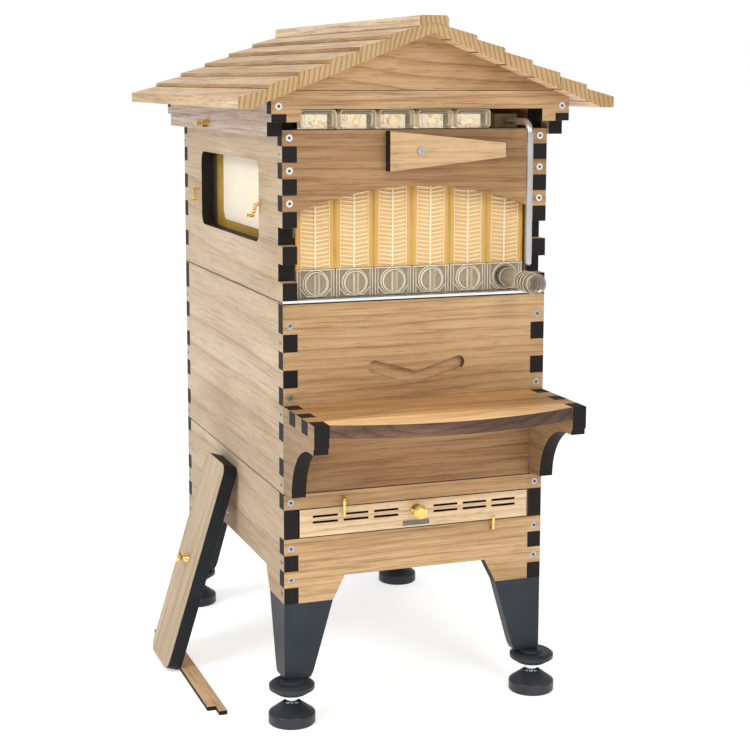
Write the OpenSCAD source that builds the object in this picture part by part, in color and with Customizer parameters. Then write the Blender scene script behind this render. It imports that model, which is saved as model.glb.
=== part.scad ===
// Timber beehive of two boxes: a brood box on a four-legged stand, and a honey box whose six
// frames drain through tubes at the rear, under a gabled roof. A shelf on brackets holds the jars.
// Frame: origin on the ground under the middle of the boxes, +Z up, harvest side towards -Y.

/* [Boxes] */
// Width of the boxes, across the frames
box_w = 355.6; // [354:0.1:357]
// Length of the boxes, along the frames
box_l = 508; // [506:0.5:510]
// Thickness of the box boards
board = 19; // [18:0.5:19.5]
// Height of the brood box
brood_h = 240; // [238:1:242]
// Height of the honey box's rear panel above its floor
honey_h = 210; // [208:1:212]
// How far the honey box's sides rise above its rear panel
side_rise = 26; // [24:1:28]
// Thickness of the queen excluder between the boxes
excluder_t = 4; // [3:0.5:5]
// Thickness of the inner cover on the honey box
inner_cover_t = 9; // [8:0.5:12]

/* [Stand] */
// Height of the base box
base_h = 142; // [140:1:144]
// Height of the underside of the base box above the ground
base_z = 155; // [153:1:158]
// Height of the bottoms of the legs above the ground
leg_z = 56; // [56:0.5:58]
// Width of a leg where it meets the base
leg_top_w = 65; // [60:1:70]
// Width of a leg at its bottom
leg_foot_w = 35; // [30:1:40]
// Distance of the feet from the middle, across the hive
foot_x = 168; // [166:1:169]
// Distance of the feet from the middle, along the hive
foot_y = 253; // [244:1:254]
// Radius of a foot pad
pad_r = 30; // [28:0.5:31]

/* [Frames] */
// Number of honey frames
honey_frames = 6; // [6:1:6]
// Distance between honey frames
frame_pitch = 51.6; // [51:0.1:52]
// Number of brood frames
brood_frame_count = 8; // [6:1:8]
// Radius of the honey channel under a frame
channel_r = 13; // [11:0.5:13]
// Radius of the harvest key's rod
key_r = 4; // [3:0.5:4.5]

/* [Openings] */
// Half length of a side window
window_half = 150; // [140:1:155]
// Height of a side window
window_h = 105; // [95:1:106]
// Corner radius of a side window
window_r = 15; // [10:1:18]
// Radius of the arch over the rear window and of the shelf's front edge
arch_r = 431; // [420:1:440]
// Rise of the arch over its ends
arch_rise = 29; // [27:1:30]

/* [Shelf] */
// Height of the shelf's top above the ground
shelf_z = 410; // [407:1:413]
// Thickness of the shelf board
shelf_t = 17; // [16:0.5:19]
// How far the brackets reach out from the wall
bracket_reach = 124; // [120:1:126]
// Radius of the brackets' hollow underside
bracket_r = 73; // [68:1:75]

/* [Roof] */
// Slope of the gable, as rise over run
gable_slope = 0.3945; // [0.39:0.0005:0.4]
// Height of the gable's peak above the ground
gable_peak = 868; // [867:0.5:869]
// Half length of the roof boards
eave_y = 304; // [296:1:306]
// Distance across the roof from one step to the next
step_run = 37.9; // [37.5:0.1:38]
// Drop from one step's tip to the next
step_drop = 14.9; // [14.8:0.1:15]
// Height of the small riser at each step
riser = 5; // [4:0.5:5.5]
// Half width of the ridge cap
ridge_half = 19.5; // [17:0.5:22]

/* [Window covers] */
// Length of a window cover
cover_l = 294; // [280:1:298]
// Width of a window cover
cover_w = 102; // [94:1:103]
// Distance of the leaning cover's lower end from the middle of the hive
cover_x = 264; // [260:1:268]

/* [Hidden] */
$fn = 48;

// Half sizes of the boxes, outside and inside
hw = box_w / 2;
hl = box_l / 2;
iw = hw - board;
il = hl - board;

// Heights of the horizontal joints
base_top = base_z + base_h;
brood_top = base_top + brood_h;
honey_z = brood_top + excluder_t;
honey_top = honey_z + honey_h;
side_top = honey_top + side_rise;
cover_top = side_top + inner_cover_t;

// Finger joints: the bands of height where the end panels reach the corner
base_finger = 21;
rail_h = 20;
tray_gap_h = 38;
tray_gap_z = base_top - rail_h - tray_gap_h;
base_bands = [[tray_gap_z - base_finger, tray_gap_z],
              [tray_gap_z - 3 * base_finger, tray_gap_z - 2 * base_finger]];
brood_finger = (brood_h - 37.5) / 9;
brood_bands = concat([[brood_top - 37.5, brood_top]],
  [for (k = [1 : 4]) [base_top + (2 * k - 1) * brood_finger, base_top + 2 * k * brood_finger]]);
honey_finger = 20;
honey_bands = [for (k = [0 : 2])
  [honey_top - (2 * k + 1) * honey_finger, honey_top - 2 * k * honey_finger]];
arch_z = honey_top - 5 * honey_finger;
low_finger = (arch_z - honey_finger - honey_z) / 4;
low_bands = [for (k = [0 : 1]) [honey_z + (2 * k + 1) * low_finger, honey_z + (2 * k + 2) * low_finger]];

// Screws: heights on the end panels and on the side panels
screw_head_r = 4.4;
screw_head_h = 2.6;
screw_shank_r = 1.9;
screw_l = 32;
screw_gap = 0.05;
base_end_z = [base_top - 11, tray_gap_z - 12.5, tray_gap_z - 53];
base_side_z = [tray_gap_z - 31.5, tray_gap_z - 71];
brood_end_z = [brood_top - 27, brood_top - 117, base_top + 33.5];
brood_side_z = [brood_top - 49, brood_top - 139, base_top + 11];
honey_end_z = [honey_top - 10, honey_top - 50, honey_top - 90];
honey_side_z = [honey_top - 30];

// Legs and the arches cut between them
leg_cut_z = 186;
leg_cut_x = 97;
leg_cut_y = 173;

// Feet, from the pad's socket up to the guard
pad_top = 27;
socket_z = 22;
collar_z = 31;
collar_r = 8.6;
guard_z = 39.5;
guard_r = 29.2;
stem_r = 6;
stem_top = 50;
turn_gap = 0.05;

// Tray under the mesh floor
tray_gap = 0.5;
tray_side_gap = 1.6;
pan_half = 150;
pan_z = tray_gap_z + 8.5;
pan_h = 15.5;
pan_back = 225;
pan_wall = 2;
vent_rows = [tray_gap_z + 19.3, tray_gap_z + 26.8];
vent_l = 33;
vent_h = 2.5;
vent_pitch = 41;

// Bent hooks
hook_r = 2.1;
hook_bend = 4;
hook_embed = 12;
hook_gap = 0.05;
tray_hook_stand = 7;
tray_hook_arm_l = 22;
tray_hook_arm_r = 17;
tray_hook_l = [-100, base_top - 9];
tray_hook_r = [106, tray_gap_z - 11];
rest_hook_r = 1.6;
rest_hook_arm = 40;
rest_hook_stand = 8;
rest_hook_y = 24;
rest_hook_z = 215;

// Side windows
window_z = 604;
pane_lap = 9;
pane_t = 3;
hook_z = 654;
hook_arm = 20;
hook_stand = 6.4;
hook_foot = 8;

// Honey frames, left to right
frame_x = [for (i = [0 : honey_frames - 1]) (i - (honey_frames - 1) / 2) * frame_pitch];
frame_half = frame_pitch / 2 - 0.4;
frame_rear = -il + 1;
frame_front = il - 1;
trough_top = honey_z + 36;
channel_z = honey_z + 18;
comb_half = frame_half - 1.2;
comb_top = honey_top - 3;
socket_half = 15.5;
socket_top = honey_top + 17.5;
cap_half = 23.4;
cap_wall = 1.8;
cap_depth = 14;
cap_low = honey_top + 0.6;
cap_high = honey_top + 23.6;
key_z = honey_top + 9;
key_stand = 71;
key_arm = 176;
key_bend = 16;
key_embed = 385;
plug_gap = 0.05;

// Latch board and its bolt
latch_y = -hl - 2;
latch_t = 16;
latch_x = -4;
latch_z = honey_top - 27;
bolt_r = 3;

// Roof, from the side rails to the ridge
rail_in = hw + 0.7;
rail_out = rail_in + board;
roof_end = hl + 22;
rail_z = 743;
lug_z = 760.5;
fascia_z = 776;
fascia_top = 799;
rail_finger = [lug_z, 770.3];
lug_x = 160;
seam = 0.1;
step_x0 = 57;
step_z0 = 865.6;
step_slope = (step_drop - riser) / step_run;
eave_bottom = 777.4;
board_gap = 0.3;
wing_z = 752;
wing_y = 30;

// Left window cover, standing on its end against the side of the hive, and the strip under it
cover_rest = hw + 0.3;
cover_lean = asin((cover_x - cover_rest) / cover_l);
cover_y = 10.5;
strip_x = -261.7;
strip_w = 22;
strip_t = 6;
strip_mid_y = -26;

function underside(x) = gable_peak - gable_slope * x;
function step_tip(k) = [step_x0 + k * step_run, step_z0 - k * step_drop];

// ---- shapes shared by several pieces ----

// Block between two corners
module block(low, high) { translate(low) cube(high - low); }

// Outline in X and Z, given a thickness along Y from y0
module along_y(y0, t) { translate([0, y0 + t, 0]) rotate([90, 0, 0]) linear_extrude(t) children(); }

// Outline in Y and Z, given a thickness along X from x0
module along_x(x0, t) { translate([x0, 0, 0]) rotate([90, 0, 90]) linear_extrude(t) children(); }

module both_sides() { children(); mirror([1, 0, 0]) children(); }
module both_ends() { children(); mirror([0, 1, 0]) children(); }

// Panel of half length `body` whose fingers reach `reach` in the given bands of height
module fingered(body, reach, low, high, bands) {
  translate([-body, low]) square([2 * body, high - low]);
  for (b = bands) translate([-reach, b[0]]) square([2 * reach, b[1] - b[0]]);
}

// The bands of height between the given ones, from low to high
function gaps(bands, low, high) =
  [for (b = concat([[low, low]], bands))
    let (above = [for (c = bands) if (c[0] > b[1] - 0.01) c[0]], next = min(concat(above, [high])))
    if (next > b[1] + 0.01) [b[1], next]];

module screw() {
  difference() {
    union() {
      translate([0, 0, 0.3]) cylinder(r = screw_head_r, h = screw_head_h);
      translate([0, 0, screw_head_h]) cylinder(r = screw_shank_r, h = screw_l - screw_head_h);
    }
    translate([0, 0, -1]) cylinder(r = 2.2, h = 2.6, $fn = 6);
  }
}

module screw_hole() {
  translate([0, 0, -1]) cylinder(r = screw_head_r + screw_gap, h = screw_head_h + 1.3 + screw_gap);
  cylinder(r = screw_shank_r + screw_gap, h = screw_l + screw_gap);
}

// Children stand on the end panels' corners, pointing into the timber
module at_ends(heights, ends = [-1, 1]) {
  for (e = ends, s = [-1, 1], z = heights)
    translate([s * (hw - board / 2), e * hl, z]) rotate([e * 90, 0, 0]) children();
}

// Children stand on the side panels' corners, pointing into the timber
module at_sides(heights) {
  for (e = [-1, 1], s = [-1, 1], z = heights)
    translate([s * hw, e * (hl - board / 2), z]) rotate([0, -s * 90, 0]) children();
}

// Rod bent to an L: the shank lies along Y from +embed to -stand, the arm hangs down from there
module bent_rod(r, embed, stand, arm, bend) {
  translate([0, embed, 0]) rotate([90, 0, 0]) cylinder(r = r, h = embed + stand - bend);
  translate([0, bend - stand, -bend]) rotate([90, 0, -90])
    rotate_extrude(angle = 90) translate([bend, 0]) circle(r = r);
  translate([0, -stand, -arm]) cylinder(r = r, h = arm - bend);
  translate([0, -stand, -arm]) sphere(r = r);
}

// Turned knob standing up from z = 0: a flared base, a waist and a slightly domed head
module knob(r, h) {
  rotate_extrude() polygon([[0, 0], [r * 0.82, 0], [r * 0.78, h * 0.1], [r * 0.48, h * 0.34],
    [r * 0.42, h * 0.5], [r * 0.5, h * 0.66], [r * 0.94, h * 0.8], [r, h * 0.86], [r * 0.96, h * 0.93],
    [r * 0.6, h * 0.985], [0, h]]);
}

// Rounded rectangle about the origin
module rounded(half_x, half_y, r) {
  square([2 * half_x - 2 * r, 2 * half_y], center = true);
  square([2 * half_x, 2 * half_y - 2 * r], center = true);
  for (sx = [-1, 1], sy = [-1, 1]) translate([sx * (half_x - r), sy * (half_y - r)]) circle(r = r);
}

// ---- stand ----

module base_side() {
  difference() {
    along_x(-hw, board) difference() {
      fingered(il, hl, base_z, base_top,
               gaps(concat(base_bands, [[base_top - rail_h, base_top]]), base_z, base_top));
      polygon([[-leg_cut_y, leg_cut_z], [leg_cut_y, leg_cut_z],
               [hl - leg_top_w, base_z], [hl - leg_top_w, base_z - 1],
               [leg_top_w - hl, base_z - 1], [leg_top_w - hl, base_z]]);
    }
    at_ends(base_end_z) screw_hole();
    at_sides(base_side_z) screw_hole();
  }
}
module base_side_left() {
  color("#cfae83") difference() {
    base_side();
    translate([-hw - 1, rest_hook_y, rest_hook_z]) rotate([0, 90, 0])
      cylinder(r = rest_hook_r + hook_gap, h = hook_embed + 1.5);
  }
}
module base_side_right() { color("#cfae83") mirror([1, 0, 0]) base_side(); }

// Lower end panel with its fingers and the arch between the legs, seen along Y
module base_end_outline(high) {
  difference() {
    fingered(iw, hw, base_z, high, base_bands);
    polygon([[-leg_cut_x, leg_cut_z], [leg_cut_x, leg_cut_z],
             [hw - leg_top_w, base_z], [hw - leg_top_w, base_z - 1],
             [leg_top_w - hw, base_z - 1], [leg_top_w - hw, base_z]]);
  }
}

module base_panel_rear() {
  color("#c69c6b") difference() {
    union() {
      along_y(-hl, board) base_end_outline(tray_gap_z);
      block([-hw, -hl, base_top - rail_h], [hw, -il, base_top]);
    }
    at_ends(base_end_z, [-1]) screw_hole();
    at_sides(base_side_z) screw_hole();
    for (h = [tray_hook_l, tray_hook_r])
      translate([h[0], -hl - 1, h[1]]) rotate([-90, 0, 0])
        cylinder(r = hook_r + hook_gap, h = hook_embed + 1.5);
  }
}

entrance_half = 125;
entrance_z = base_top - 18;
module base_panel_front() {
  color("#c69c6b") difference() {
    along_y(il, board) difference() {
      union() {
        base_end_outline(base_top);
        translate([-hw, base_top - rail_h]) square([2 * hw, rail_h]);
      }
      translate([-entrance_half, entrance_z]) square([2 * entrance_half, 40]);
    }
    at_ends(base_end_z, [1]) screw_hole();
    at_sides(base_side_z) screw_hole();
  }
}

module landing_board() {
  color("#c69c6b") along_x(-140, 280)
    polygon([[hl, entrance_z - 14], [hl, entrance_z], [hl + 46, entrance_z - 6], [hl + 46, entrance_z - 14]]);
}

mesh_cell = 27;
module floor_mesh() {
  color("#b9bcc0") translate([0, 0, base_top - rail_h]) linear_extrude(1.2) difference() {
    square([2 * iw, 2 * il], center = true);
    for (x = [-5 : 5], y = [-8 : 8])
      translate([x * mesh_cell, y * mesh_cell]) square(mesh_cell - 3, center = true);
  }
}

// One leg, a plate along each wall, at the rear left corner
module leg() {
  along_y(-hl, board)
    polygon([[-hw, base_z], [leg_top_w - hw, base_z], [leg_foot_w + 4 - hw, leg_z + 8],
             [leg_foot_w - hw, leg_z], [4 - hw, leg_z], [-hw, leg_z + 4]]);
  along_x(-hw, board)
    polygon([[-hl, base_z], [leg_top_w - hl, base_z], [leg_foot_w + 4 - hl, leg_z + 8],
             [leg_foot_w - hl, leg_z], [4 - hl, leg_z], [-hl, leg_z + 4]]);
}
module legs() { color("#2c3238") both_ends() both_sides() leg(); }

// Dished guard on top of a foot, bored for the foot's stem
module ant_guard() {
  rotate_extrude() polygon([[stem_r + turn_gap, guard_z], [guard_r - 8.5, guard_z],
    [guard_r - 1, guard_z + 5], [guard_r, guard_z + 6], [guard_r, guard_z + 11],
    [guard_r - 4, guard_z + 14], [15, guard_z + 14], [14, leg_z], [0, leg_z],
    [0, stem_top + 0.5], [stem_r + turn_gap, stem_top + 0.5]]);
}
module ant_guards() {
  color("#1f2226") both_ends() both_sides() translate([-foot_x, -foot_y, 0]) ant_guard();
}

// Levelling foot: a coned pad with a socket, and the chromed stem that turns in the guard
module foot() {
  color("#1f2226") rotate_extrude()
    polygon([[0, 0], [pad_r - 1.5, 0], [pad_r, 1.5], [pad_r, 13], [pad_r - 1, 14.5], [12, pad_top],
             [10.5, pad_top], [9, socket_z], [0, socket_z]]);
  color("#d8dadd") rotate_extrude()
    polygon([[0, socket_z], [6.4, socket_z], [6.4, socket_z + 3], [5, socket_z + 4.5],
             [collar_r, collar_z], [collar_r, guard_z - 0.1], [stem_r, guard_z - 0.1],
             [stem_r, stem_top], [0, stem_top]]);
}
module foot_rear_left() { translate([-foot_x, -foot_y, 0]) foot(); }
module foot_rear_right() { translate([foot_x, -foot_y, 0]) foot(); }
module foot_front_left() { translate([-foot_x, foot_y, 0]) foot(); }
module foot_front_right() { translate([foot_x, foot_y, 0]) foot(); }

// ---- tray ----

tray_knob_r = 9.5;
tray_knob_h = 17;
tray_knob_z = tray_gap_z + 24;
bar_half = 18;
bar_z = tray_gap_z + 4;
bar_h = 6;
module tray_front() {
  color("#dcc193") difference() {
    block([-iw + tray_side_gap, -hl, tray_gap_z + tray_gap],
          [iw - tray_side_gap, -il, base_top - rail_h - tray_gap]);
    for (s = [-1, 1], k = [1 : 3], z = vent_rows)
      translate([s * k * vent_pitch, -hl + board / 2, z]) cube([vent_l, board + 2, vent_h], center = true);
    block([-bar_half, -hl - 1, bar_z], [bar_half, -hl + 5, bar_z + bar_h]);
  }
}

module tray_pan() {
  color("#9ea2a6") difference() {
    block([-pan_half, -il, pan_z], [pan_half, pan_back, pan_z + pan_h]);
    block([-pan_half + pan_wall, -il + pan_wall, pan_z + pan_wall],
          [pan_half - pan_wall, pan_back - pan_wall, pan_z + pan_h + 1]);
  }
}

module tray_fittings() {
  color("#d9a13b") translate([0, -hl, tray_knob_z]) rotate([90, 0, 0]) knob(tray_knob_r, tray_knob_h);
  color("#d8dadd") block([-bar_half, -hl + 1, bar_z], [bar_half, -hl + 5, bar_z + bar_h]);
}

module tray_hook_left() {
  color("#d9a13b") translate([tray_hook_l[0], -hl, tray_hook_l[1]])
    bent_rod(hook_r, hook_embed, tray_hook_stand, tray_hook_arm_l, hook_bend);
}
module tray_hook_right() {
  color("#d9a13b") translate([tray_hook_r[0], -hl, tray_hook_r[1]]) rotate([0, 180, 0])
    bent_rod(hook_r, hook_embed, tray_hook_stand, tray_hook_arm_r, hook_bend);
}

// ---- brood box ----

// Rebate along the top of an end panel, where the frames' lugs rest
rest_depth = 10;
rest_h = 16;
module frame_rest() {
  block([-iw, -il - rest_depth, brood_top - rest_h], [iw, -il + 1, brood_top + 1]);
}

module brood_side() {
  difference() {
    along_x(-hw, board)
      fingered(il, hl, base_top, brood_top, gaps(brood_bands, base_top, brood_top));
    at_ends(brood_end_z) screw_hole();
    at_sides(brood_side_z) screw_hole();
  }
}
module brood_side_left() { color("#cfae83") brood_side(); }
module brood_side_right() { color("#cfae83") mirror([1, 0, 0]) brood_side(); }

// Hand hold: a shallow chevron with round ends
hold_x = 57;
hold_w = 17;
hold_z = 452.5;
hold_depth = 9;
module hand_hold() {
  along_y(-hl - 1, hold_depth + 1) translate([0, hold_z]) {
    polygon([[-hold_x, hold_w / 2], [0, -hold_w / 2], [hold_x, hold_w / 2],
             [hold_x, -hold_w / 2], [0, -1.5 * hold_w], [-hold_x, -hold_w / 2]]);
    for (s = [-1, 1]) translate([s * hold_x, 0]) circle(r = hold_w / 2);
  }
}

module brood_panel() {
  difference() {
    along_y(-hl, board) fingered(iw, hw, base_top, brood_top, brood_bands);
    frame_rest();
    at_ends(brood_end_z) screw_hole();
    at_sides(brood_side_z) screw_hole();
    hand_hold();
  }
}
module brood_panel_rear() { color("#c69c6b") brood_panel(); }
module brood_panel_front() { color("#c69c6b") mirror([0, 1, 0]) brood_panel(); }

brood_pitch = 2 * iw / brood_frame_count;
brood_x = [for (i = [0 : brood_frame_count - 1]) (i - (brood_frame_count - 1) / 2) * brood_pitch];
brood_bar = 26;
brood_low = base_top + 8;
brood_high = brood_top - rest_h + 9;
lug_half = il + rest_depth - 1;
rim_half = il - 10;
module brood_frames() {
  color("#d9bd8c") for (x = brood_x) along_x(x - brood_bar / 2, brood_bar) difference() {
    union() {
      translate([-rim_half, brood_low]) square([2 * rim_half, brood_high - brood_low]);
      translate([-lug_half, brood_high - 9]) square([2 * lug_half, 9]);
    }
    translate([9 - rim_half, brood_low + 10]) square([2 * rim_half - 18, brood_high - brood_low - 29]);
  }
}
module foundation_sheets() {
  color("#e2b04a") for (x = brood_x)
    block([x - 2, 9 - rim_half, brood_low + 10], [x + 2, rim_half - 9, brood_high - 19]);
}

// Screws of the stand, and the fixed hook on its left side, whose arm lies along the wall
module stand_screws() {
  color("#d8dadd") {
    at_ends(concat(base_end_z, brood_end_z)) screw();
    at_sides(concat(base_side_z, brood_side_z)) screw();
    translate([-hw, rest_hook_y, rest_hook_z]) rotate([0, 0, -90]) rotate([0, -90, 0])
      bent_rod(rest_hook_r, hook_embed, rest_hook_stand, rest_hook_arm, hook_bend);
  }
}

// ---- shelf ----

bracket_finger = bracket_reach / 5;
shelf_front = -hl - bracket_reach;
module bracket() {
  tip = shelf_front + 18;
  low = shelf_z - 36;
  along_x(-hw, board) difference() {
    polygon([[-hl, shelf_z], [shelf_front, shelf_z], [shelf_front, low + 9], [shelf_front + 3, low + 6],
             [shelf_front + 3, low], [tip, low], [tip + bracket_r, low - bracket_r],
             [-hl, low - bracket_r - 3]]);
    translate([tip, low - bracket_r]) circle(r = bracket_r, $fn = 96);
    for (k = [1, 3]) translate([-hl - (k + 1) * bracket_finger, shelf_z - shelf_t])
      square([bracket_finger, shelf_t + 1]);
  }
}
module bracket_left() { color("#d3b58a") bracket(); }
module bracket_right() { color("#d3b58a") mirror([1, 0, 0]) bracket(); }

module shelf_board() {
  color("#c98f55") translate([0, 0, shelf_z - shelf_t]) linear_extrude(shelf_t) {
    intersection() {
      translate([-iw, -hl - 160]) square([2 * iw, 160]);
      translate([0, arch_r - hl - bracket_reach - arch_rise]) circle(r = arch_r, $fn = 180);
    }
    for (k = [1, 3]) translate([-hw, -hl - (k + 1) * bracket_finger]) square([2 * hw, bracket_finger]);
  }
}

// ---- between the boxes ----

slot_pitch = 12;
module queen_excluder() {
  color("#c9ccd0") translate([0, 0, brood_top]) linear_extrude(excluder_t) difference() {
    square([2 * hw, 2 * hl], center = true);
    for (i = [-13 : 13], j = [-1, 0, 1])
      translate([i * slot_pitch, j * 155]) square([slot_pitch - 4, 146], center = true);
  }
}

// ---- honey box ----

module window_outline(grow = 0) {
  translate([0, window_z + window_h / 2]) rounded(window_half + grow, window_h / 2 + grow, window_r + grow);
}

module honey_side() {
  difference() {
    along_x(-hw, board) difference() {
      union() {
        translate([-il, honey_z]) square([2 * il, side_top - honey_z]);
        fingered(il, hl, honey_z, honey_top, gaps(concat(honey_bands, low_bands), honey_z, honey_top));
      }
      window_outline();
    }
    along_x(-iw - pane_t - 0.2, board) window_outline(pane_lap);
    at_ends(honey_end_z) screw_hole();
    at_sides(honey_side_z) screw_hole();
    for (y = window_hook_y) translate([-hw - 1, y, hook_z]) rotate([0, 90, 0])
      cylinder(r = hook_r + hook_gap, h = hook_embed + 1.5);
  }
}
module honey_side_left() { color("#cfae83") honey_side(); }
module honey_side_right() { color("#cfae83") mirror([1, 0, 0]) honey_side(); }

module honey_panel_rear() {
  color("#c69c6b") difference() {
    along_y(-hl, board) difference() {
      fingered(iw, hw, arch_z, honey_top, honey_bands);
      translate([0, arch_z + arch_rise - arch_r]) circle(r = arch_r, $fn = 180);
    }
    at_ends(honey_end_z, [-1]) screw_hole();
    at_sides(honey_side_z) screw_hole();
    translate([latch_x, -hl - 1, latch_z]) rotate([-90, 0, 0]) cylinder(r = bolt_r + 0.05, h = 15);
  }
}

// The front panel closes the box up to the inner cover, over the ends of the sides
module honey_panel_front() {
  upper = [honey_top - 5, side_top];
  color("#c69c6b") difference() {
    along_y(il, board) fingered(iw, hw, honey_z, side_top, concat(honey_bands, low_bands, [upper]));
    at_ends(honey_end_z, [1]) screw_hole();
    at_sides(honey_side_z) screw_hole();
  }
}

module window_panes() {
  color([0.8, 0.88, 0.9, 0.4]) both_sides() along_x(-iw - pane_t, pane_t) window_outline(pane_lap - 0.3);
}

// Clear trough under each frame, with the honey channel bored along it
module frame_troughs() {
  color([0.85, 0.9, 0.9, 0.5]) difference() {
    for (x = frame_x)
      block([x - frame_half, frame_rear, honey_z + 0.2], [x + frame_half, frame_front, trough_top]);
    for (x = frame_x) translate([x, frame_rear - 1, channel_z]) rotate([-90, 0, 0])
      cylinder(r = channel_r, h = frame_front - frame_rear - 20);
  }
}

// Comb of each frame, with the key's socket above its rear end
module combs() {
  color("#ecd9a0") difference() {
    for (x = frame_x) {
      block([x - comb_half, frame_rear + 3, trough_top], [x + comb_half, frame_front - 2, comb_top]);
      block([x - socket_half, frame_rear, comb_top], [x + socket_half, frame_rear + 24, socket_top]);
    }
    for (x = frame_x) translate([x, frame_rear - 1, key_z]) rotate([-90, 0, 0])
      cylinder(r = key_r + turn_gap, h = 26);
  }
}

module honey_screws() {
  color("#d8dadd") {
    at_ends(honey_end_z) screw();
    at_sides(honey_side_z) screw();
  }
  color("#d8dadd") translate([latch_x, 0, latch_z]) rotate([90, 0, 0]) {
    translate([0, 0, hl]) cylinder(r = 9, h = -latch_y - hl);
    translate([0, 0, hl - 14]) cylinder(r = bolt_r, h = 14 + latch_t - latch_y - hl + 0.4);
    translate([0, 0, latch_t - latch_y + 0.2]) difference() {
      cylinder(r = 4.6, h = 3);
      translate([0, 0, 1.6]) cylinder(r = 2.4, h = 2, $fn = 6);
    }
  }
}

module latch_board() {
  color("#d8bb8e") difference() {
    along_y(latch_y - latch_t, latch_t)
      polygon([[-44, latch_z - 25], [-44, latch_z + 25], [112, latch_z + 9], [112, latch_z - 9]]);
    translate([latch_x, latch_y - latch_t - 1, latch_z]) rotate([-90, 0, 0])
      cylinder(r = bolt_r + turn_gap, h = latch_t + 2);
  }
}

module harvest_key() {
  color("#b8bcc0") translate([frame_x[5], -il, key_z])
    bent_rod(key_r, key_embed, key_stand, key_arm, key_bend);
}

// Honey tube: a plug in the last channel, a collar, and a ribbed spout with a flared mouth
tube_bore = 9;
tube_out = 98;
module honey_tube() {
  rib = [for (k = [0 : 3]) each let (s = 58 + 8 * k)
    [[11, s], [12.6, s + 1.5], [12.6, s + 3.5], [11, s + 5]]];
  color([0.9, 0.85, 0.6, 0.6]) translate([frame_x[5], frame_rear, channel_z]) rotate([90, 0, 0])
    rotate_extrude() polygon(concat(
      [[tube_bore, -22], [channel_r - plug_gap, -22], [channel_r - plug_gap, 0.2], [15.5, 0.2], [15.5, 4],
       [11.5, 6], [11, 12]], rib,
      [[11, tube_out - 6], [13, tube_out - 3], [13, tube_out], [10.5, tube_out], [tube_bore, tube_out - 4]]));
}

// Stopper of each other channel: a plug, a round flange and an upright grip
module tube_caps() {
  color([0.85, 0.9, 0.92, 0.6]) for (i = [0 : honey_frames - 2])
    translate([frame_x[i], frame_rear, channel_z]) rotate([90, 0, 0]) {
      translate([0, 0, -14]) cylinder(r = channel_r - plug_gap, h = 14.2);
      translate([0, 0, 0.2]) cylinder(r = 15, h = 2.4);
      translate([-2.6, -12.5, 2.6]) cube([5.2, 25, 6]);
    }
}

// Hollow cover of each unused key socket, above the rear panel, with a plug in the socket
module key_caps() {
  mid = (cap_low + cap_high) / 2;
  half = (cap_high - cap_low) / 2;
  color([0.85, 0.9, 0.92, 0.6]) for (i = [0 : honey_frames - 2]) translate([frame_x[i], 0, 0]) {
    difference() {
      along_y(frame_rear - cap_depth, cap_depth - 0.2) translate([0, mid]) rounded(cap_half, half, 4);
      along_y(frame_rear - cap_depth + cap_wall, cap_depth)
        translate([0, mid]) rounded(cap_half - cap_wall, half - cap_wall, 4 - cap_wall);
    }
    translate([0, frame_rear - cap_depth + 1, key_z]) rotate([-90, 0, 0])
      cylinder(r = key_r - 0.1, h = cap_depth + 5);
  }
}

// Window hooks: shank across the wall, an arm turned to `angle` from hanging straight down, and a
// foot at its end that points away from the wall, for the fingers
window_hook_y = [-158, 172];
module window_hook(side, y, angle) {
  color("#d9a13b") translate([side * hw, y, hook_z]) rotate([0, 0, side * 90]) rotate([0, angle, 0]) {
    bent_rod(hook_r, hook_embed, hook_stand, hook_arm, hook_bend);
    translate([0, -hook_stand, -hook_arm]) rotate([90, 0, 0]) cylinder(r = hook_r, h = hook_foot);
    translate([0, -hook_stand - hook_foot, -hook_arm]) sphere(r = hook_r);
  }
}
module window_hook_1() { window_hook(-1, window_hook_y[0], 40); }
module window_hook_2() { window_hook(-1, window_hook_y[1], -40); }
module window_hook_3() { mirror([1, 0, 0]) window_hook(-1, window_hook_y[0], 0); }
module window_hook_4() { mirror([1, 0, 0]) window_hook(-1, window_hook_y[1], 0); }

// Window cover lying on its inner face, its length along X
cover_corner = 16;
knob_r = 7.5;
knob_h = 15;
module cover_plate() {
  linear_extrude(board) rounded(cover_l / 2, cover_w / 2, cover_corner);
}

// The right cover, in its window against the pane
module on_right_window() {
  translate([iw + pane_t + 0.6, 0, window_z + window_h / 2]) rotate([90, 0, 90]) children();
}
module right_cover() { color("#cfae83") on_right_window() cover_plate(); }
module right_cover_knob() {
  color("#d9a13b") on_right_window() translate([0, 0, board]) knob(knob_r, knob_h);
}

// ---- roof ----

feed_hole_r = 25;
module inner_cover() {
  color("#d2b184") translate([0, 0, side_top]) linear_extrude(inner_cover_t) difference() {
    square([2 * hw, 2 * hl], center = true);
    circle(r = feed_hole_r);
  }
}

module at_roof_ends() {
  for (e = [-1, 1], s = [-1, 1]) translate([s * (rail_in + board / 2), e * roof_end, fascia_z + 3.5])
    rotate([e * 90, 0, 0]) children();
}
module at_wing_screws() {
  for (s = [-1, 1]) translate([s * rail_out, wing_y, wing_z]) rotate([0, -s * 90, 0]) children();
}

module roof_rails() {
  color("#cfae83") difference() {
    both_sides() difference() {
      along_y(-roof_end, 2 * roof_end)
        polygon([[-rail_out, rail_z], [-rail_in, rail_z], [-rail_in, underside(rail_in)],
                 [-rail_out, underside(rail_out)]]);
      both_ends() {
        block([-rail_out - 1, -roof_end - 1, rail_z - 1], [-rail_in + 1, board - roof_end, rail_finger[0]]);
        block([-rail_out - 1, -roof_end - 1, rail_finger[1]], [-rail_in + 1, board - roof_end, fascia_top]);
      }
    }
    at_roof_ends() screw_hole();
    at_wing_screws() translate([0, 0, -1]) cylinder(r = 2.55, h = board + 2);
  }
}

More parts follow.
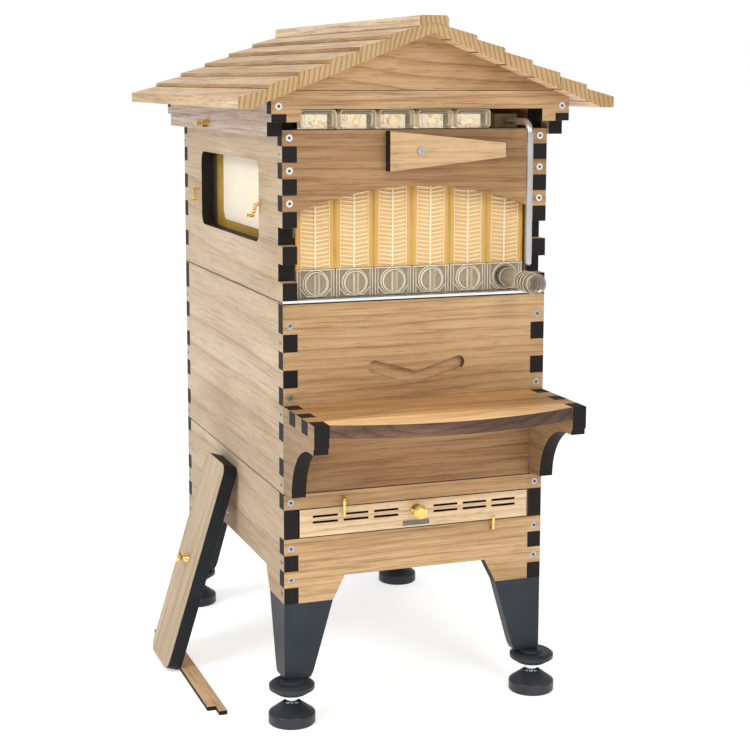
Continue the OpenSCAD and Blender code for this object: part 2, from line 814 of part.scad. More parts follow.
// Gable end: a fascia with a lug and a finger under each end, and the board above it
module gable() {
  reach = (gable_peak - fascia_top) / gable_slope;
  along_y(-roof_end, board) {
    polygon([[-reach, fascia_top], [reach, fascia_top], [0, gable_peak]]);
    polygon([[-rail_out, fascia_z], [rail_out, fascia_z], [rail_out, underside(rail_out)],
             [reach, fascia_top - seam], [-reach, fascia_top - seam], [-rail_out, underside(rail_out)]]);
    for (m = [0, 1]) mirror([m, 0])
      polygon([[lug_x, lug_z], [rail_in, lug_z], [rail_in, rail_finger[1]], [rail_out, rail_finger[1]],
               [rail_out, fascia_z - seam], [lug_x, fascia_z - seam]]);
  }
}
module roof_gables() {
  color("#c69c6b") difference() {
    both_ends() gable();
    at_roof_ends() screw_hole();
  }
}

// Cleats inside the gables, which stand on the inner cover
module roof_cleats() {
  color("#d2b184") both_ends()
    block([-150, board - roof_end, cover_top], [150, 2 * board - roof_end, cover_top + 20]);
}

// Weatherboards of one slope, two steps to a board
module roof_slope() {
  for (j = [0 : 2]) {
    first = step_tip(2 * j);
    last = step_tip(2 * j + 1);
    x0 = j == 0 ? 0 : step_tip(2 * j - 1)[0] + board_gap;
    top0 = j == 0 ? step_z0 + step_slope * step_x0 : step_tip(2 * j - 1)[1] - riser;
    low = j == 2 ? [[last[0], eave_bottom], [(gable_peak - eave_bottom) / gable_slope, eave_bottom]]
                 : [[last[0], underside(last[0])]];
    along_y(-eave_y, 2 * eave_y) polygon(concat(
      [[x0, underside(x0)], [x0, top0], first, first - [0, riser], last], low));
  }
}
module roof_boards_left() { color("#c9a877") mirror([1, 0, 0]) roof_slope(); }
module roof_boards_right() { color("#c9a877") roof_slope(); }

ridge_top = 889;
ridge_round = 5;
function board_top(x) = step_z0 + step_slope * (step_x0 - x);
module ridge_cap() {
  color("#c69c6b") along_y(-eave_y, 2 * eave_y) {
    polygon([[0, board_top(0)], [ridge_half, board_top(ridge_half)], [ridge_half, ridge_top - ridge_round],
             [ridge_half - ridge_round, ridge_top], [ridge_round - ridge_half, ridge_top],
             [-ridge_half, ridge_top - ridge_round], [-ridge_half, board_top(ridge_half)]]);
    for (s = [-1, 1]) translate([s * (ridge_half - ridge_round), ridge_top - ridge_round])
      circle(r = ridge_round);
  }
}

module wing_screw() {
  translate([0, 0, -16]) cylinder(r = 2.5, h = 16 + board);
  translate([0, 0, -9]) cylinder(r = 5, h = 9);
  translate([-1.5, -9, -18]) cube([3, 18, 10]);
}
module roof_screws() {
  color("#d8dadd") at_roof_ends() screw();
  color("#d9a13b") at_wing_screws() wing_screw();
}

// ---- loose pieces beside the hive ----

// Children stand on end, their X axis leaning up against the side of the hive
module on_left_lean() {
  translate([-cover_x, cover_y, 0]) rotate([0, cover_lean, 0])
    translate([0, 0, cover_l / 2]) rotate([0, -90, 0]) children();
}
module left_cover() { color("#d0b083") on_left_lean() cover_plate(); }
module left_cover_knob() {
  color("#d9a13b") on_left_lean() translate([0, 0, board]) knob(knob_r, knob_h);
}

module cover_strip() {
  color("#c99a63") translate([strip_x, strip_mid_y, 0]) linear_extrude(strip_t) {
    translate([0, -iw]) square([strip_w, 2 * iw]);
    translate([strip_w / 2, -hw]) square([strip_w / 2, 2 * hw]);
  }
}

base_side_left();
base_side_right();
base_panel_rear();
base_panel_front();
landing_board();
floor_mesh();
legs();
ant_guards();
foot_rear_left();
foot_rear_right();
foot_front_left();
foot_front_right();
tray_front();
tray_pan();
tray_fittings();
tray_hook_left();
tray_hook_right();
brood_side_left();
brood_side_right();
brood_panel_rear();
brood_panel_front();
brood_frames();
foundation_sheets();
stand_screws();
shelf_board();
bracket_left();
bracket_right();
queen_excluder();
honey_side_left();
honey_side_right();
honey_panel_rear();
honey_panel_front();
window_panes();
frame_troughs();
combs();
honey_screws();
latch_board();
harvest_key();
honey_tube();
tube_caps();
key_caps();
window_hook_1();
window_hook_2();
window_hook_3();
window_hook_4();
right_cover();
right_cover_knob();
inner_cover();
roof_rails();
roof_gables();
roof_cleats();
roof_boards_left();
roof_boards_right();
ridge_cap();
roof_screws();
left_cover();
left_cover_knob();
cover_strip();
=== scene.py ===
"""Looks of a timber beehive: oiled boards with black end grain, clear honey fittings, brass and
steel, and black feet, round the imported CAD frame. Everything is in metres, in the row frame."""

import math

import bmesh
import bpy
from mathutils import Matrix, Vector


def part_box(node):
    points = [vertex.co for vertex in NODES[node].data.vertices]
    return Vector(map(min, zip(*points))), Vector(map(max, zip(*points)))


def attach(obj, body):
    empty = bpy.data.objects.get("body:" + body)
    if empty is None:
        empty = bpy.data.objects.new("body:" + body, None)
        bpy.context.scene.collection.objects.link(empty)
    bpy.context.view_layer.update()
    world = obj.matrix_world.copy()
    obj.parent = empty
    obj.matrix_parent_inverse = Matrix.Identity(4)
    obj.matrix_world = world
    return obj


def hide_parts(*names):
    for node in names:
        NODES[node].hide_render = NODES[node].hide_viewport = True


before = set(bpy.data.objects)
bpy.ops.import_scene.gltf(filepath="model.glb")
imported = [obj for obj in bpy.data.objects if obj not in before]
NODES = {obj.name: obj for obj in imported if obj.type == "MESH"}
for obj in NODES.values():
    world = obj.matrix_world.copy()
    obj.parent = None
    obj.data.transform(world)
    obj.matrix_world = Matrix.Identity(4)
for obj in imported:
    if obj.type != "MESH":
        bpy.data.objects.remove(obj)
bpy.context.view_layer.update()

MM = 0.001
AMBIENT = 0.52  # strength of the white surroundings, as the object sees them
BACK = Vector((0, -1, 0))

# Levels and reaches that several parts of the looks share
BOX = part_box("brood_panel_rear")
HALF_WIDTH = BOX[1].x
HALF_LENGTH = -BOX[0].y
BOARD = 19 * MM
INNER_X = HALF_WIDTH - BOARD
INNER_Y = HALF_LENGTH - BOARD
BASE_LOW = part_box("base_panel_rear")[0].z
BROOD_LOW, BROOD_TOP = BOX[0].z, BOX[1].z
PANEL_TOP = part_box("honey_panel_rear")[1].z
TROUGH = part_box("frame_troughs")
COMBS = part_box("combs")
ROOF_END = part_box("roof_gables")[1].y
FRAME_COUNT = 6
FRAME_PITCH = (TROUGH[1].x - TROUGH[0].x + 0.8 * MM) / FRAME_COUNT
FRAME_X = [(number - (FRAME_COUNT - 1) / 2) * FRAME_PITCH for number in range(FRAME_COUNT)]
CHANNEL_Z = TROUGH[0].z + 17.8 * MM
RECESS = 0.6 * MM  # depth below a board's face at which the inside of a screw head begins
# Distance from the ridge to the first step of a roof slope, and from one step to the next
ROOF_STEPS = (57 * MM, 37.9 * MM)


# ---- node helpers ----

def new_material(name, roughness=0.5, metallic=0.0):
    """An empty Principled material, as (material, tree, shader)."""
    material = bpy.data.materials.new(name)
    material.use_nodes = True
    shader = material.node_tree.nodes["Principled BSDF"]
    shader.inputs["Roughness"].default_value = roughness
    shader.inputs["Metallic"].default_value = metallic
    return material, material.node_tree, shader


def mapped(tree, scale=(1, 1, 1), turn=(0, 0, 0), shift=(0, 0, 0), source=None):
    """Object coordinates, or a source vector, stretched, turned and shifted."""
    mapping = tree.nodes.new("ShaderNodeMapping")
    mapping.inputs["Scale"].default_value = scale
    mapping.inputs["Rotation"].default_value = turn
    mapping.inputs["Location"].default_value = shift
    if source is None:
        source = tree.nodes.new("ShaderNodeTexCoord").outputs["Object"]
    tree.links.new(source, mapping.inputs["Vector"])
    return mapping.outputs["Vector"]


def noise(tree, vector, scale=1.0, detail=4.0, roughness=0.55, distortion=0.0):
    """Noise from 0 to 1 at the given coordinates."""
    node = tree.nodes.new("ShaderNodeTexNoise")
    node.inputs["Scale"].default_value = scale
    node.inputs["Detail"].default_value = detail
    node.inputs["Roughness"].default_value = roughness
    node.inputs["Distortion"].default_value = distortion
    tree.links.new(vector, node.inputs["Vector"])
    return node.outputs["Fac"]


def ramp(tree, value, stops):
    """Colour ramp through (position, colour) stops."""
    node = tree.nodes.new("ShaderNodeValToRGB")
    elements = node.color_ramp.elements
    while len(elements) < len(stops):
        elements.new(0.5)
    for element, (position, colour) in zip(elements, stops):
        element.position = position
        element.color = (*colour, 1.0)
    tree.links.new(value, node.inputs["Fac"])
    return node.outputs["Color"]


def blended(tree, first, second, factor, mode="MIX"):
    """Two colours mixed; each of the three inputs may be a socket or a fixed value."""
    node = tree.nodes.new("ShaderNodeMix")
    node.data_type = "RGBA"
    node.blend_type = mode
    for value, socket in ((first, node.inputs[6]), (second, node.inputs[7]), (factor, node.inputs[0])):
        if isinstance(value, bpy.types.NodeSocket):
            tree.links.new(value, socket)
        else:
            socket.default_value = value if isinstance(value, float) else (*value, 1.0)
    return node.outputs[2]


def bump(tree, shader, height, strength, distance):
    """Lets a value raise the shader's surface."""
    node = tree.nodes.new("ShaderNodeBump")
    node.inputs["Strength"].default_value = strength
    node.inputs["Distance"].default_value = distance
    tree.links.new(height, node.inputs["Height"])
    tree.links.new(node.outputs["Normal"], shader.inputs["Normal"])


def spread(tree, value, low, high):
    """Maps a 0-1 value to a range, for roughness."""
    node = tree.nodes.new("ShaderNodeMapRange")
    node.inputs["To Min"].default_value = low
    node.inputs["To Max"].default_value = high
    tree.links.new(value, node.inputs["Value"])
    return node.outputs["Result"]


def position(tree, axis):
    """One of the object coordinates, "X", "Y" or "Z"."""
    split = tree.nodes.new("ShaderNodeSeparateXYZ")
    tree.links.new(tree.nodes.new("ShaderNodeTexCoord").outputs["Object"], split.inputs["Vector"])
    return split.outputs[axis]


def calculated(tree, operation, value, *others):
    """Result of a maths node on a value and on further values or fixed numbers."""
    node = tree.nodes.new("ShaderNodeMath")
    node.operation = operation
    tree.links.new(value, node.inputs[0])
    for socket, other in zip(node.inputs[1:], others):
        if isinstance(other, bpy.types.NodeSocket):
            tree.links.new(other, socket)
        else:
            socket.default_value = other
    return node.outputs[0]


def near_levels(tree, levels, reach):
    """1 within `reach` of any of the heights, else 0."""
    height = position(tree, "Z")
    tests = [calculated(tree, "COMPARE", height, level, reach) for level in levels]
    total = tests[0]
    for test in tests[1:]:
        total = calculated(tree, "MAXIMUM", total, test)
    return total


def behind(tree, level):
    """1 where y is below the level, else 0."""
    return calculated(tree, "LESS_THAN", position(tree, "Y"), level)


def step_shadow_lines(tree, first, pitch):
    """1 in a narrow line just past each step of a roof slope, counted outwards from the ridge: where
    painted shadow goes.
    """
    middle, reach = 1.4 * MM, 1.5 * MM
    distance = calculated(tree, "ABSOLUTE", position(tree, "X"))
    # Whole pitches are added, so that the remainder is never taken of a negative number
    past_first = calculated(tree, "SUBTRACT", distance, first - pitch * 4)
    past_step = calculated(tree, "MODULO", past_first, pitch)
    return calculated(tree, "COMPARE", past_step, middle, reach)


# ---- materials ----

def along_axis(axis, lengthwise, across):
    """A scale for each axis: one value along the grain axis (0, 1 or 2), the other across it."""
    return tuple(lengthwise if number == axis else across for number in range(3))


def wood(name, tones, along=0, shift=0.0, turn=(0, 0, 0), roughness=0.5, ring=24.0, swirl=1.0,
         fibre=0.80, late=1.25, pore=0.6, seam_shade=(), steps=None, lit_rear=None, band=None):
    """Oiled timber: growth rings about a distant pith, long fibres, open pores, painted shade in dark
    lines at the given joint heights, painted shadow in dark lines under the steps (first, pitch) of a
    roof slope, painted light that makes the board paler behind a given y level, and painted shade
    that darkens it within a band (middle, reach) of heights."""
    pale, mid, dark = tones
    material, tree, shader = new_material(name, roughness)
    shader.inputs["Specular IOR Level"].default_value = 0.28
    place = mapped(tree, (1, 1, 1), turn)
    # Shifts that give each board its own part of the rings and of the finer figure
    drift = (0.35 + 0.13 * math.sin(shift * 5.1), 0.30 + 0.11 * math.sin(shift * 3.7),
             0.42 + 0.16 * math.sin(shift * 2.3))
    offset = (shift, shift * 1.7, shift * 0.6)
    rings = tree.nodes.new("ShaderNodeTexWave")
    rings.wave_type = "RINGS"
    rings.rings_direction = "XYZ"[along]
    rings.wave_profile = "SAW"
    rings.inputs["Scale"].default_value = ring
    rings.inputs["Distortion"].default_value = 22.0 * swirl
    rings.inputs["Detail"].default_value = 3.0
    rings.inputs["Detail Scale"].default_value = 0.13
    pith = mapped(tree, along_axis(along, 0.30, 1.0), (0, 0, 0), drift, place)
    tree.links.new(pith, rings.inputs["Vector"])

    def figure(lengthwise, across, detail, roughness, distortion=0.0):
        """Noise stretched along the grain, at a number of spots per metre each way."""
        stretched = mapped(tree, along_axis(along, lengthwise, across), (0, 0, 0), offset, place)
        return noise(tree, stretched, 1.0, detail, roughness, distortion)

    broad = figure(2.2, 9.0, 4.0, 0.6, 0.8)
    patchy = figure(4.0, 22.0, 2.0, 0.5)
    lines = figure(9.0, 300.0, 5.0, 0.7)
    tone = figure(1.0, 4.5, 2.0, 0.5, 0.5)
    strength = spread(tree, figure(1.4, 7.0, 1.0, 0.5), fibre - 0.5, fibre + 0.45)
    pores = figure(38.0, 760.0, 2.0, 0.6)
    colour = ramp(tree, broad, ((0.34, pale), (0.52, mid), (0.70, dark)))
    late_tint = ramp(tree, rings.outputs["Fac"], (
        (0.0, (0.80, 0.74, 0.67)), (0.10, (1, 1, 1)), (0.55, (1, 1, 1)), (0.88, (0.82, 0.76, 0.69)),
        (1.0, (0.56, 0.47, 0.38))))
    tone_tint = ramp(tree, tone, ((0.36, (0.84, 0.79, 0.73)), (0.60, (1.06, 1.07, 1.09))))
    fibre_tint = ramp(tree, lines, (
        (0.34, (0.52, 0.44, 0.37)), (0.49, (0.93, 0.90, 0.87)), (0.64, (1.06, 1.06, 1.06))))
    pore_tint = ramp(tree, pores, ((0.30, (0.45, 0.37, 0.30)), (0.43, (1, 1, 1))))
    colour = blended(tree, colour, tone_tint, 0.8, "MULTIPLY")
    colour = blended(tree, colour, late_tint, spread(tree, patchy, -0.1, late), "MULTIPLY")
    colour = blended(tree, colour, fibre_tint, strength, "MULTIPLY")
    colour = blended(tree, colour, pore_tint, pore, "MULTIPLY")
    # Painted light: the board is made paler and cooler behind the given level
    if lit_rear is not None:
        colour = blended(tree, colour, (1.45, 1.55, 1.75), behind(tree, lit_rear), "MULTIPLY")
    # Painted shade: the board is darkened within a band of heights
    if band:
        middle, reach = band
        in_band = near_levels(tree, (middle,), reach)
        colour = blended(tree, colour, (0.73, 0.67, 0.63), in_band, "MULTIPLY")
    # Painted shade: dark lines in the gaps where boxes and boards meet
    if seam_shade:
        colour = blended(tree, colour, (0.03, 0.022, 0.018), near_levels(tree, seam_shade, 0.8 * MM))
    # Painted shadow: dark lines under the steps of a roof slope
    if steps:
        colour = blended(tree, colour, (0.10, 0.055, 0.025), step_shadow_lines(tree, *steps))
    tree.links.new(colour, shader.inputs["Base Color"])
    tree.links.new(spread(tree, lines, roughness - 0.08, roughness + 0.12), shader.inputs["Roughness"])
    bump(tree, shader, blended(tree, lines, pores, 0.4), 0.4, 0.0005)
    return material


def end_grain(name, pale, dark, slope):
    """Bare end grain: growth rings cut across, slanting one way, with fine pores."""
    material, tree, shader = new_material(name, 0.6)
    shader.inputs["Specular IOR Level"].default_value = 0.25
    rings = tree.nodes.new("ShaderNodeTexWave")
    rings.wave_profile = "SAW"
    rings.inputs["Scale"].default_value = 52.0
    rings.inputs["Distortion"].default_value = 5.0
    rings.inputs["Detail"].default_value = 2.0
    rings.inputs["Detail Scale"].default_value = 0.35
    tree.links.new(mapped(tree, (1, 1, 1), (0, math.radians(slope), 0)), rings.inputs["Vector"])
    pores = noise(tree, mapped(tree, (900, 60, 900)), 1.0, 2.0)
    broad = noise(tree, mapped(tree, (14, 2, 14)), 1.0, 3.0)
    colour = ramp(tree, rings.outputs["Fac"], ((0.0, pale), (0.50, pale), (0.90, dark), (1.0, dark)))
    broad_tint = ramp(tree, broad, ((0.35, (0.82, 0.76, 0.68)), (0.6, (1, 1, 1))))
    pore_tint = ramp(tree, pores, ((0.3, (0.75, 0.7, 0.6)), (0.5, (1, 1, 1))))
    colour = blended(tree, colour, broad_tint, 0.8, "MULTIPLY")
    colour = blended(tree, colour, pore_tint, 0.6, "MULTIPLY")
    tree.links.new(colour, shader.inputs["Base Color"])
    bump(tree, shader, pores, 0.3, 0.0004)
    return material


def black_wood(name):
    """End grain sealed black, its fibres still showing."""
    material, tree, shader = new_material(name, 0.55)
    shader.inputs["Specular IOR Level"].default_value = 0.12
    fibres = noise(tree, mapped(tree, (260, 260, 500)), 1.0, 4.0, 0.6)
    broad = noise(tree, mapped(tree, (30, 30, 60)), 1.0, 3.0)
    colour = ramp(tree, fibres, ((0.3, (0.006, 0.006, 0.007)), (0.75, (0.024, 0.021, 0.021))))
    tree.links.new(blended(tree, colour, (0.020, 0.015, 0.013), broad), shader.inputs["Base Color"])
    tree.links.new(spread(tree, fibres, 0.45, 0.7), shader.inputs["Roughness"])
    bump(tree, shader, fibres, 0.4, 0.0004)
    return material


def satin(name, low, high, roughness, grain=260.0, depth=0.00015, glow=0.0, gloss=0.3):
    """Moulded plastic, rubber or powder coat with a fine even texture; glow lets light soak in."""
    material, tree, shader = new_material(name, roughness)
    mottle = noise(tree, mapped(tree, (14, 14, 14)), 1.0, 3.0)
    texture = noise(tree, mapped(tree, (grain, grain, grain)), 1.0, 3.0)
    tree.links.new(ramp(tree, mottle, ((0.35, low), (0.65, high))), shader.inputs["Base Color"])
    tree.links.new(spread(tree, texture, roughness - 0.06, roughness + 0.08), shader.inputs["Roughness"])
    shader.inputs["Specular IOR Level"].default_value = gloss
    shader.inputs["Subsurface Weight"].default_value = glow
    shader.inputs["Subsurface Radius"].default_value = (0.012, 0.007, 0.003)
    bump(tree, shader, texture, 0.3, depth)
    return material


def metal(name, low, high, roughness, stretch=(60, 60, 60), levels=()):
    """Metal with faint brushing and uneven polish, and a dark line of painted shade at the given heights.
    """
    material, tree, shader = new_material(name, roughness, 1.0)
    brush = noise(tree, mapped(tree, stretch), 1.0, 4.0)
    colour = ramp(tree, brush, ((0.3, low), (0.7, high)))
    # Painted shade: a dark line at each given height
    if levels:
        colour = blended(tree, colour, (0.015, 0.016, 0.02), near_levels(tree, levels, 1.0 * MM))
    tree.links.new(colour, shader.inputs["Base Color"])
    tree.links.new(spread(tree, brush, max(roughness - 0.05, 0.03), roughness + 0.1),
                   shader.inputs["Roughness"])
    bump(tree, shader, brush, 0.08, 0.0001)
    return material


def clear(name, tint, roughness=0.06, alpha=0.35, rim=0.0, coat=0.5):
    """Clear moulded plastic: a thin see-through shell, more solid where it is seen edge on."""
    material, tree, shader = new_material(name, roughness)
    flow = noise(tree, mapped(tree, (30, 30, 30)), 1.0, 2.0)
    tree.links.new(ramp(tree, flow, ((0.3, tint), (0.7, tuple(min(c * 1.1, 1) for c in tint)))),
                   shader.inputs["Base Color"])
    shader.inputs["Alpha"].default_value = alpha
    shader.inputs["IOR"].default_value = 1.58
    shader.inputs["Coat Weight"].default_value = coat
    if rim:
        facing = tree.nodes.new("ShaderNodeLayerWeight")
        facing.inputs["Blend"].default_value = 0.35
        tree.links.new(spread(tree, facing.outputs["Facing"], alpha, rim), shader.inputs["Alpha"])
    bump(tree, shader, flow, 0.12, 0.0004)
    return material


def glints(name, dark, mid, bright):
    """Clear socket seen through its cap: painted hard-edged patches of light and shade, and a painted glow.
    """
    material, tree, shader = new_material(name, 0.15)
    patches = tree.nodes.new("ShaderNodeTexVoronoi")
    patches.inputs["Scale"].default_value = 1.0
    tree.links.new(mapped(tree, (150, 60, 210)), patches.inputs["Vector"])
    soft = noise(tree, mapped(tree, (190, 90, 150)), 1.0, 2.0, 0.5, 1.2)
    value = blended(tree, patches.outputs["Color"], soft, 0.55)
    colour = ramp(tree, value, ((0.28, dark), (0.38, mid), (0.46, bright), (1.0, bright)))
    tree.links.new(colour, shader.inputs["Base Color"])
    # Painted glow: the socket emits its own colours, standing in for light that comes through the clear
    # plastic
    tree.links.new(colour, shader.inputs["Emission Color"])
    shader.inputs["Emission Strength"].default_value = 0.52
    bump(tree, shader, soft, 0.5, 0.001)
    return material


END_WOOD = ((0.688, 0.480, 0.264), (0.595, 0.396, 0.204), (0.446, 0.280, 0.136))
HONEY_END = ((0.558, 0.356, 0.183), (0.456, 0.277, 0.136), (0.335, 0.195, 0.092))
# Side boards: their timber, made paler and less saturated as painted sheen of the light from the left
SIDE_WOOD_AND_SHEEN = ((0.618, 0.493, 0.348), (0.540, 0.414, 0.275), (0.425, 0.307, 0.196))
BRACKET_WOOD = ((0.436, 0.309, 0.173), (0.372, 0.251, 0.134), (0.281, 0.179, 0.091))
LIGHT_WOOD = ((0.798, 0.610, 0.391), (0.722, 0.533, 0.327), (0.598, 0.422, 0.243))
SHELF_WOOD = ((0.746, 0.468, 0.211), (0.588, 0.342, 0.146), (0.431, 0.236, 0.096))
ROOF_WOOD = ((0.990, 0.760, 0.510), (0.860, 0.635, 0.405), (0.610, 0.425, 0.255))
RIDGE_WOOD = ((0.980, 0.820, 0.600), (0.900, 0.730, 0.510), (0.740, 0.560, 0.370))
# Darker copy of the roof timber: painted shade on the steps' risers
SHADED_RISER_WOOD = ((0.660, 0.445, 0.225), (0.590, 0.380, 0.180), (0.460, 0.285, 0.130))
GABLE_WOOD = ((0.639, 0.427, 0.225), (0.526, 0.335, 0.169), (0.338, 0.199, 0.096))
FASCIA_WOOD = ((0.607, 0.410, 0.223), (0.508, 0.324, 0.166), (0.344, 0.209, 0.101))
# Roof rails: their timber, made paler and greyer as painted sheen of the light from the left
RAIL_WOOD_AND_SHEEN = ((0.650, 0.563, 0.506), (0.571, 0.481, 0.421), (0.448, 0.365, 0.305))
# Paler copy of the panels' timber: painted light on the hand holds' slanting floors
LIT_HOLD_WOOD = ((0.820, 0.580, 0.345), (0.740, 0.500, 0.280), (0.600, 0.385, 0.205))
LATCH_WOOD = ((0.660, 0.461, 0.259), (0.590, 0.398, 0.214), (0.480, 0.312, 0.159))
STRIP_WOOD = ((0.916, 0.649, 0.396), (0.807, 0.550, 0.319), (0.654, 0.429, 0.237))
# Dark stain of the shelf's edge; the same tones are painted shade on the hand holds' walls
DARK_STAIN_AND_SHADE_WOOD = ((0.216, 0.122, 0.077), (0.108, 0.063, 0.045), (0.036, 0.025, 0.021))

BLACK = black_wood("black_end_grain")
LEG_BLACK = satin("leg_black", (0.016, 0.023, 0.032), (0.023, 0.031, 0.042), 0.42)
FOOT_BLACK = satin("foot_black", (0.020, 0.023, 0.029), (0.036, 0.041, 0.050), 0.36)
BRASS = metal("brass", (0.66, 0.44, 0.10), (0.98, 0.74, 0.28), 0.2, (90, 90, 90))
STEEL = metal("steel", (0.54, 0.55, 0.56), (0.64, 0.65, 0.67), 0.28, (25, 25, 25))
EDGE_BLACK = satin("cover_edge_black", (0.006, 0.008, 0.011), (0.012, 0.015, 0.019), 0.6)
BAR_STEEL = metal("bar_steel", (0.05, 0.045, 0.035), (0.26, 0.26, 0.22), 0.2, (20, 20, 400))
SCREW_STEEL = metal("screw_steel", (0.80, 0.81, 0.83), (0.92, 0.93, 0.95), 0.3)
STAND_STEEL = metal("stand_screw_steel", (0.32, 0.33, 0.34), (0.54, 0.55, 0.56), 0.3, (300, 300, 300))
# Painted shade for the recesses of screw heads
SHADE = satin("screw_recess_shade", (0.12, 0.115, 0.11), (0.20, 0.195, 0.19), 0.6)
CHROME = metal("chrome", (0.75, 0.76, 0.78), (0.86, 0.87, 0.89), 0.08)
GALVANISED = metal("galvanised", (0.55, 0.57, 0.60), (0.75, 0.77, 0.80), 0.3)
CLEAR = clear("clear_plastic", (0.84, 0.68, 0.46), 0.07, 0.32, 0.85)
TUBE_CLEAR = clear("tube_clear", (0.66, 0.56, 0.42), 0.07, 0.06, 0.42)
CAP_CLEAR = clear("cap_clear", (0.98, 0.87, 0.62), 0.2, 0.14, 0.75, coat=0.1)
# Painted highlight: whitish, nearly opaque clear plastic for rims, as clear edges look when they catch the
# light
CLEAR_EDGE_HIGHLIGHT = clear("clear_edge_highlight", (1.0, 0.93, 0.76), 0.08, 0.66)
# Painted highlight for the honey tube's rib crests and mouth
TUBE_RIM_HIGHLIGHT = clear("tube_rim_highlight", (0.92, 0.86, 0.74), 0.08, 0.14)
# Painted shade for the flanks of the honey tube's ribs
RING_EDGE_SHADE = clear("tube_ring", (0.20, 0.15, 0.10), 0.1, 0.5)
RING_DARK = satin("ring_shadow", (0.10, 0.07, 0.045), (0.17, 0.12, 0.08), 0.3)
PANE = clear("window_pane", (0.96, 0.96, 0.92), 0.03, 0.02, coat=0.0)
CREAM = satin("comb_cream", (0.90, 0.785, 0.60), (0.93, 0.82, 0.64), 0.38, glow=0.3)
RIB_CREAM = satin("rib_cream", (0.92, 0.80, 0.56), (0.96, 0.85, 0.63), 0.35, glow=0.4)
# Gold of the combs' sides, darkened as painted shade from the window's reveal
GOLD_SHADE = satin("comb_gold_shade", (0.36, 0.200, 0.014), (0.50, 0.300, 0.035), 0.6, gloss=0.04)
HONEY = satin("comb_honey", (0.80, 0.525, 0.205), (0.86, 0.595, 0.26), 0.42, glow=0.3)
PEACH = satin("comb_peach", (0.72, 0.39, 0.10), (0.76, 0.435, 0.135), 0.42, glow=0.2)
AMBER = satin("comb_amber", (0.50, 0.33, 0.07), (0.66, 0.47, 0.13), 0.4, glow=0.2)
OLIVE = satin("comb_olive", (0.16, 0.12, 0.04), (0.24, 0.18, 0.07), 0.35)
WAX = satin("beeswax", (0.62, 0.38, 0.08), (0.75, 0.48, 0.14), 0.5)
GLINTS = glints("socket_glints", (0.55, 0.36, 0.18), (0.90, 0.68, 0.44), (1.0, 0.92, 0.76))


# ---- dressing of the CAD nodes ----

def dress(node, material):
    """Gives a CAD node one material."""
    slots = NODES[node].data.materials
    slots.clear()
    slots.append(material)


def repaint(node, material, test):
    """Gives the node's faces that pass test(centre, normal) another material."""
    mesh = NODES[node].data
    mesh.materials.append(material)
    index = len(mesh.materials) - 1
    for face in mesh.polygons:
        if test(face.center, face.normal):
            face.material_index = index


def soften(node, width=0.7):
    """Rounds a board's sharp edges, as sanding does."""
    piece = NODES[node]
    weld = piece.modifiers.new("weld", "WELD")
    weld.merge_threshold = 0.00001
    flat = piece.modifiers.new("flat", "DECIMATE")
    flat.decimate_type = "DISSOLVE"
    flat.angle_limit = math.radians(1.0)
    flat.delimit = {"MATERIAL"}
    edge = piece.modifiers.new("edge", "BEVEL")
    edge.width = width * MM
    edge.segments = 2
    edge.limit_method = "ANGLE"
    edge.angle_limit = math.radians(40)
    edge.use_clamp_overlap = True


def soften_all():
    """Rounds the edges of every board, and of the legs."""
    for entry in board_sets():
        soften(entry[0])
    for node in ("bracket_left", "bracket_right", "shelf_board", "roof_rails", "roof_gables",
                 "roof_boards_left", "roof_boards_right", "ridge_cap", "tray_front", "latch_board",
                 "left_cover", "right_cover", "cover_strip", "landing_board", "inner_cover", "legs"):
        soften(node)


def outer_ends(axis, start):
    """Faces across `axis` that lie beyond `start`: a board's end grain at the box corners."""
    return lambda centre, normal: abs(normal[axis]) > 0.7 and abs(centre[axis]) > start - MM


def board_sets():
    """Every board of the boxes, as (node, tones, grain axis, end grain's start, pattern shift)."""
    for tier, box in enumerate(("base", "brood", "honey")):
        for place, name in enumerate(("side_left", "side_right")):
            # Side boards take tones that hold painted sheen
            yield f"{box}_{name}", SIDE_WOOD_AND_SHEEN, 1, INNER_Y, 4.1 * tier + 11.3 * place
        for place, name in enumerate(("panel_rear", "panel_front")):
            tones = HONEY_END if box == "honey" else END_WOOD
            yield f"{box}_{name}", tones, 0, INNER_X, 20 + 2.3 * tier + 7.7 * place


def dress_boards():
    """Sides and panels of the three boxes, with black fingers, arches and window openings."""
    for node, tones, along, start, shift in board_sets():
        if along == 0:
            band = None
            # Painted shade on the rear panel, where the shelf above shades it
            if node == "brood_panel_rear":
                shelf_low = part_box("shelf_board")[0].z
                band = ((shelf_low + BROOD_LOW) / 2, (shelf_low - BROOD_LOW) / 2)
            # Painted shade lines at the gaps where the boxes meet
            seam_shade = (BROOD_LOW, BROOD_TOP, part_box(node)[1].z)
            timber = wood(node + "_timber", tones, along, shift, pore=0.45, band=band, seam_shade=seam_shade)
        else:
            # Painted shade line at the gap where the brood box meets the base
            timber = wood(node + "_timber", tones, along, shift, ring=7.0, swirl=1.6, fibre=0.55,
                          late=1.0, pore=0.4, seam_shade=(BROOD_LOW,))
        dress(node, timber)
        repaint(node, BLACK, outer_ends(along, start))
    arch_top = BASE_LOW + 32 * MM
    for node in ("base_side_left", "base_side_right", "base_panel_rear", "base_panel_front"):
        repaint(node, BLACK, lambda centre, normal: abs(normal.z) > 0.2 and centre.z < arch_top)
    window_reach = INNER_Y * 0.75
    window_low, window_high = BROOD_TOP + 64 * MM, PANEL_TOP - 30 * MM
    for node in ("honey_side_left", "honey_side_right"):
        repaint(node, BLACK, lambda centre, normal: (abs(normal.x) < 0.5 and abs(centre.y) < window_reach
                                                     and window_low < centre.z < window_high))


